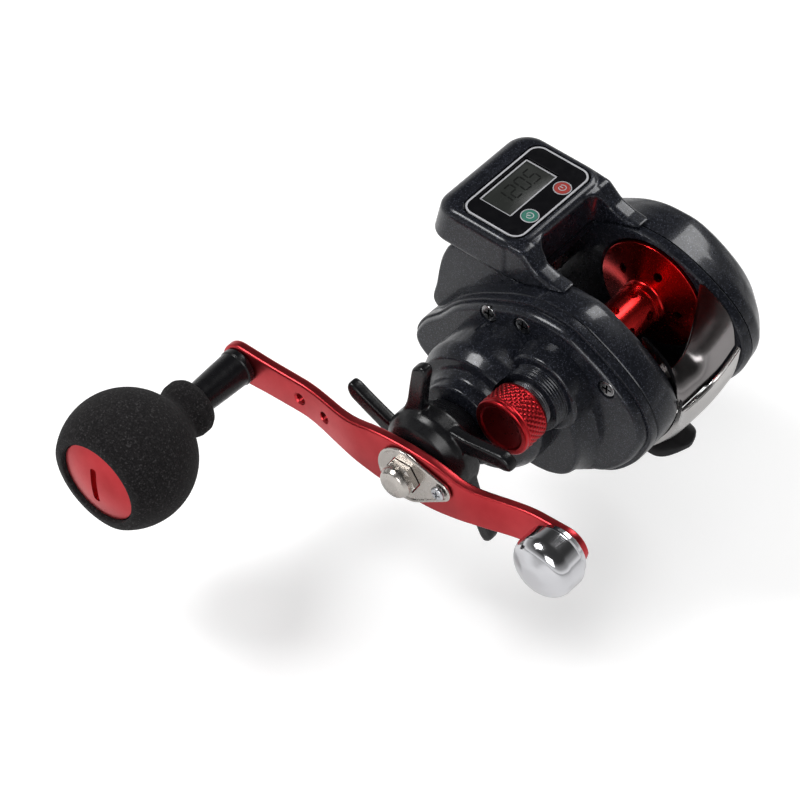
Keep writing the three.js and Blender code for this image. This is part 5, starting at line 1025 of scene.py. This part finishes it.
def makeNut():
    seat = nut["seat"]
    six = np.linspace(0, 2 * np.pi, 192, endpoint=False)
    reach = nut["acrossCorners"] * math.cos(math.pi / 6) / np.cos(np.mod(six, np.pi / 3) - np.pi / 6)
    hexagon = reach[:, None] * ring(1, 192)
    levels = [(seat, 0.35), (seat - 0.3, 0), (seat - 2.7, 0), (seat - 3.2, 0.55)]
    piece = carried("handleNut", hexagon + driveAxis, levels)
    end = seat - nut["high"]
    combined(piece, [turned("crown", [
        (seat - 2, 0, 0), (seat - 2, nut["crown"], 0), (seat - 4.4, nut["crown"], 1.1), (seat - 5.7, 4.2, 0.9),
        (end, 2.4, 1.2), (end, 0, 0)], driveAxis, 64)])
    cutBy(piece, [rod("bore", seat - 3, seat + 1, nut["bore"], driveAxis, 40)])
    finished(tilted(piece), nickel, "handle_nut", sharp=30)
    r = retainer
    lean = math.acos((r["radius"] - r["tailRadius"]) / r["tail"])
    big, small = np.linspace(lean, 2 * np.pi - lean, 60), np.linspace(-lean, lean, 24)
    drop = np.concatenate([r["radius"] * np.stack([np.cos(big), np.sin(big)], -1),
                           r["tailRadius"] * np.stack([np.cos(small), np.sin(small)], -1) + (r["tail"], 0)])
    drop = swung(drop, r["turn"]) + driveAxis
    piece = carried("nutRetainer", drop, rounded(seat - 1, seat, 0.3, 3))
    rim = r["rim"]
    cutBy(piece, [carried("dish", drop, [(seat - 2, rim), (seat - 1, rim + 0.05), (seat - 0.72, rim + 0.4)]),
                  prism("hexHole", hexagon * 1.075 + driveAxis, seat - 2, seat + 1),
                  rod("hole", seat - 2, seat + 1, 1.2, tailAt, 24)])
    finished(tilted(piece), nickel, "nut_retainer", sharp=30)
    piece = screw("retainerScrew", tailAt, retainerScrew, ((1.3, 0.28), (0.28, 1.3)))
    finished(tilted(piece), steel, "retainer_screw")


# Counterweight: a chromed ball with a flat waist, on a screw from behind the arm

weight = {"start": -70, "long": 13.2, "radius": 9.6, "bore": 1.95, "boreLong": 7.2}
weightScrew = {"head": 3, "shank": 1.6, "top": -64.6, "seat": -66.4, "end": -76.3, "floor": -65.4,
               "round": 0.9, "rim": 0.15, "tip": 0.3, "corner": 0.2}


def makeCounterweight():
    at = onArm(-arm["weightReach"])
    start, radius, bore = weight["start"], weight["radius"], weight["bore"]
    end, deep = start - weight["long"], start - weight["boreLong"]
    piece = turned("counterweight", [
        (end, 0, 0), (end + 0.15, 3.4, 6), (end + 2.4, 8.3, 5), (end + 5, radius, 5), (start - 2.5, radius, 0.9),
        (start - 1.5, 8.5, 0.5), (start, 8.2, 0.3), (start, bore, 0), (deep, bore, 0), (deep, 0, 0)], at, 128, 10)
    finished(tilted(piece), chrome, "counterweight", sharp=35)
    piece = screw("counterweightScrew", at, weightScrew, [(2.2, 0.35)], 48)
    finished(tilted(piece), steel, "counterweight_screw")


# Knob: gloss sleeve on the spindle, foam grip, red cap with a coin slot; all measured out from the arm

knob = {"ball": 19.7, "ballAt": 46.4, "capAt": 57.2, "cap": 12.5, "crown": 1.7, "lip": 1.6, "core": 4,
        "coreEnd": 54.3, "bore": 2.6, "slotHalf": 1.1, "slotLong": 6.2}


def makeKnob():
    k, at = knob, onArm(arm["knobReach"])
    face = arm["outer"] + arm["knobSet"]

    def outFrom(profile):
        return [(face - out, r, f) for out, r, f in profile]
    sleeve = turned("knobSleeve", outFrom([
        (0.3, 5.1, 0.2), (0.3, 5.65, 0.3), (2.2, 5.65, 0.2), (2.6, 5.35, 0.2), (9, 5.1, 3), (17.4, 4.65, 2),
        (18.4, 4.65, 0.3), (18.4, k["core"], 0.1), (k["coreEnd"], k["core"], 0.3), (k["coreEnd"], k["bore"], 0),
        (3.9, k["bore"], 0), (3.9, 4.75, 0), (0.3, 4.75, 0)]), at, loop=True)
    finished(tilted(sleeve), glossBlack, "knob_sleeve", sharp=35)
    # the foam: a rolled collar, a waist, and a ball whose end stands a little over the cap
    reach, seat = k["capAt"] + k["lip"], k["capAt"] - 0.3
    a = np.linspace(math.asin(8.4 / k["ball"]), math.pi - math.acos((reach - k["ballAt"]) / k["ball"]), 60)
    ball = [(k["ballAt"] - k["ball"] * math.cos(t), k["ball"] * math.sin(t), 0) for t in a[2:-1]]
    grip = turned("knobGrip", outFrom([
        (18.7, 4.3, 0), (18.7, 7.4, 1.2), (20.6, 8.5, 1.5), (23.4, 8.5, 2), (26.6, 7.35, 2.5), *ball,
        (reach, 13.6, 0.8), (reach, 12.9, 0.5), (reach - 0.6, 12.8, 0.1), (seat, 12.8, 0), (seat, 4.3, 0)]),
                  at, 192, 5, loop=True)
    finished(tilted(grip), foam, "knob_grip", sharp=60)
    low = k["capAt"] + 0.64
    dome = [(low + k["crown"] * (1 - t * t), 12.2 * t, 0) for t in np.linspace(0, 1, 24)]
    cap = turned("knobCap", outFrom(dome + [(low - 0.05, k["cap"] - 0.05, 0.2), (k["capAt"], k["cap"], 0.1),
                                            (k["capAt"], 0, 0)]), at, 128)
    slot = softBoxAt(at, k["slotHalf"], k["slotLong"], 1, 6)
    cutBy(cap, [prism("slot", slot, face - low - 3, face - low + 0.1)])
    finished(tilted(cap), redAlloy, "knob_cap", sharp=30)


makeSpool()
makeCastCap()
makeStar()
makeArm()
makeNut()
makeCounterweight()
makeKnob()
print("spool, cap, star and handle made")


# Foot: a saddle with a flat strip under its middle and thin round ends; thin gives shares of its
# thickness along it

foot = {"back": 26, "front": 34, "half": 7.8, "flatHalf": 2.6, "sag": 2.8, "thickness": 2.4,
        "thin": {-26: 0.6, -25: 0.9, -18.2: 1, -12: 1, 20: 1, 26.2: 0.8, 34: 0.45}}
footScrew = {"head": 2.4, "shank": 1.2, "top": 1.1, "seat": 0, "end": -4.6, "floor": 0.6,
             "round": 0.4, "rim": 0.1, "tip": 0.2, "corner": 0.15}


# each section across sags to its sides as a power of the way out, and its edges are rounded as a curve
# of the twelfth power
def makeFoot():
    f = foot
    y = np.linspace(-f["back"], f["front"], 121)[:, None]
    fromEnd = np.clip(np.minimum((y + f["back"]) / f["half"], (f["front"] - y) / f["half"]), 0, 1)
    wide = np.maximum(np.sqrt(np.clip(1 - (1 - fromEnd) ** 2, 0, 1)), 0.12)
    thin = np.interp(y, list(f["thin"]), list(f["thin"].values()))
    across = np.linspace(-1, 1, 33)
    x = wide * across * f["half"]
    drop = f["sag"] * np.clip((np.abs(x) - f["flatHalf"]) / (f["half"] - f["flatHalf"]), 0, 1) ** 1.6
    edge = 0.5 * (1 - np.sqrt(np.clip(1 - np.abs(across) ** 12, 0, 1)))
    under = -footDrop - drop
    low, high = (np.stack([x, np.broadcast_to(y, x.shape), z], -1)
                 for z in (under + edge, under + f["thickness"] * thin - edge))
    piece = skinned("reelFoot", np.concatenate([low, high[:, ::-1]], 1))
    cutBy(piece, [prism("hole", ring(1.5, 24, (0, at)), -33.1, -30, "xy") for at in footScrewsAt.values()])
    finished(piece, satinBlack, "reel_foot", sharp=40)
    for where, at in footScrewsAt.items():
        piece = screw("footScrew." + where, spoolAxis, footScrew, [(1.7, 0.3)])
        finished(upright(piece, 0, at, -28), steel, "foot_screw_" + where)


makeFoot()
print("foot made")


# Inner pieces keep their CAD shape: a weld and a fine bevel soften their edges

innerLooks = (
    (steel, "yoke_post_upper yoke_post_lower clutch_cam coin_battery spool_shaft spool_bearing_palm"),
    (steel, "spool_bearing_handle pinion_bearing drive_shaft_bearing one_way_bearing drive_shaft"),
    (steel, "ratchet_wheel pressure_plate spring_washer worm_shaft guide_bar knob_spindle knob_bearing"),
    (darkSteel, "brake_magnets drive_sleeve"),
    (brass, "pinion_gear drive_gear line_guide_pawl"),
    (satinBlack, "clutch_yoke battery_door cap_shim levelwind_drive_gear levelwind_driven_gear line_guide"),
    (carbon, "drag_washer"),
    (boardGreen, "circuit_board"))
fineEdge = {"width": 0.12 * metre, "segments": 2, "limit_method": "ANGLE", "angle_limit": math.radians(28),
            "use_clamp_overlap": True}
for look, names in innerLooks:
    for name in names.split():
        piece = nodes[name]
        piece.data.materials.clear()
        piece.data.materials.append(look)
        piece.modifiers.new("weld", "WELD").merge_threshold = 1e-6
        bevel = piece.modifiers.new("bevel", "BEVEL")
        for key, value in fineEdge.items():
            setattr(bevel, key, value)
print("inner pieces finished")


# Floor, light and camera, in metres. The floor lies as low as the counterweight swings, and looks white
# far out too: its glow for the camera's rays rises with the distance from the reel

stage = {"size": 8, "level": -0.0405,
         "glow": {"From Min": 0.2, "From Max": 0.8, "To Min": 0.32, "To Max": 0.75}}
light = {"even": 0.38, "horizon": 1.0, "wall": 0.34, "ceiling": 0.04, "aim": (-0.045, 0.03, 0.02)}
lamps = {"key": ((-0.35, 0.5, 0.8), 0.3, 5.0), "fill": ((-0.7, -0.25, 0.45), 0.4, 2.6),
         "rim": ((0.55, 0.0, 0.6), 0.3, 2.6)}
camera = {"away": (-0.520, -0.439, 0.733), "aim": (-0.0525, 0.0367, 0.0187), "sensor": 36, "lens": 162}


def makeStage():
    bpy.ops.mesh.primitive_plane_add(size=stage["size"], location=(0, 0, stage["level"]))
    floor = bpy.context.object
    floor.name = "floor"
    look = Finish("paleFloor", Roughness=0.7, Specular_IOR_Level=0.1, Emission_Color=(1, 1, 1, 1))
    look.colour(look.ramp(look.noise(3, 2), [(0.3, 0.8), (0.7, 0.82)]))
    seen, where, rise = look.node("LightPath"), look.node("TexCoord"), look.node("MapRange")
    away = look.node("VectorMath", operation="LENGTH")
    glow = look.node("Math", operation="MULTIPLY")
    for key, value in stage["glow"].items():
        rise.inputs[key].default_value = value
    look.link(where.outputs["Object"], away.inputs[0])
    look.link(away.outputs["Value"], rise.inputs["Value"])
    look.link(seen.outputs["Is Camera Ray"], glow.inputs[0])
    look.link(rise.outputs["Result"], glow.inputs[1])
    look.link(glow.outputs[0], look.shader.inputs["Emission Strength"])
    floor.data.materials.append(look.material)


def makeLight():
    world = bpy.data.worlds.new("studio")
    bpy.context.scene.world = world
    world.use_nodes = True
    tree = world.node_tree
    even = tree.nodes["Background"]
    ray, parts, room, studio, plain, path, shiny, mirrored, seen = (
        tree.nodes.new("ShaderNode" + kind) for kind in (
            "TexCoord", "SeparateXYZ", "ValToRGB", "Background", "Background", "LightPath", "Math",
            "MixShader", "MixShader"))
    for back in (even, plain):
        back.inputs["Color"].default_value = (1, 1, 1, 1)
    even.inputs["Strength"].default_value = light["even"]
    shiny.operation = "MAXIMUM"
    # reflections see white at the horizon that greys towards the ceiling: a ramp over the height of the ray
    band = room.color_ramp
    band.interpolation = "EASE"
    band.elements.new(0.3)
    for element, (at, value) in zip(band.elements, ((0.02, "horizon"), (0.3, "wall"), (0.62, "ceiling"))):
        element.position = at
        element.color = (light[value], light[value], light[value], 1)
    # even light for the surfaces, the room for glossy and clear rays, plain white for the camera
    for out, socket in (
            (ray.outputs["Generated"], parts.inputs[0]), (parts.outputs["Z"], room.inputs["Fac"]),
            (room.outputs["Color"], studio.inputs["Color"]), (path.outputs["Is Glossy Ray"], shiny.inputs[0]),
            (path.outputs["Is Transmission Ray"], shiny.inputs[1]), (shiny.outputs[0], mirrored.inputs["Fac"]),
            (even.outputs["Background"], mirrored.inputs[1]), (studio.outputs["Background"], mirrored.inputs[2]),
            (path.outputs["Is Camera Ray"], seen.inputs["Fac"]), (mirrored.outputs["Shader"], seen.inputs[1]),
            (plain.outputs["Background"], seen.inputs[2]),
            (seen.outputs["Shader"], tree.nodes["World Output"].inputs["Surface"])):
        tree.links.new(out, socket)
    for name, (place, size, watts) in lamps.items():
        lamp = bpy.data.lights.new(name, "AREA")
        lamp.energy, lamp.size = watts, size
        holder = bpy.data.objects.new(name, lamp)
        bpy.context.scene.collection.objects.link(holder)
        holder.location = place
        holder.rotation_euler = (Vector(place) - Vector(light["aim"])).to_track_quat("Z", "Y").to_euler()


# the camera stands one metre from its aim, at the photograph's viewing angle
def makeCamera():
    away = Vector(camera["away"]).normalized()
    data = bpy.data.cameras.new("camera")
    holder = bpy.data.objects.new("camera", data)
    bpy.context.scene.collection.objects.link(holder)
    holder.location = Vector(camera["aim"]) + away
    holder.rotation_euler = away.to_track_quat("Z", "Y").to_euler()
    data.sensor_width, data.lens = camera["sensor"], camera["lens"]
    data.clip_start, data.clip_end = 0.05, 20
    bpy.context.scene.camera = holder


makeStage()
makeLight()
makeCamera()
bpy.context.scene.view_settings.view_transform = "Standard"
print("stage, light and camera set")
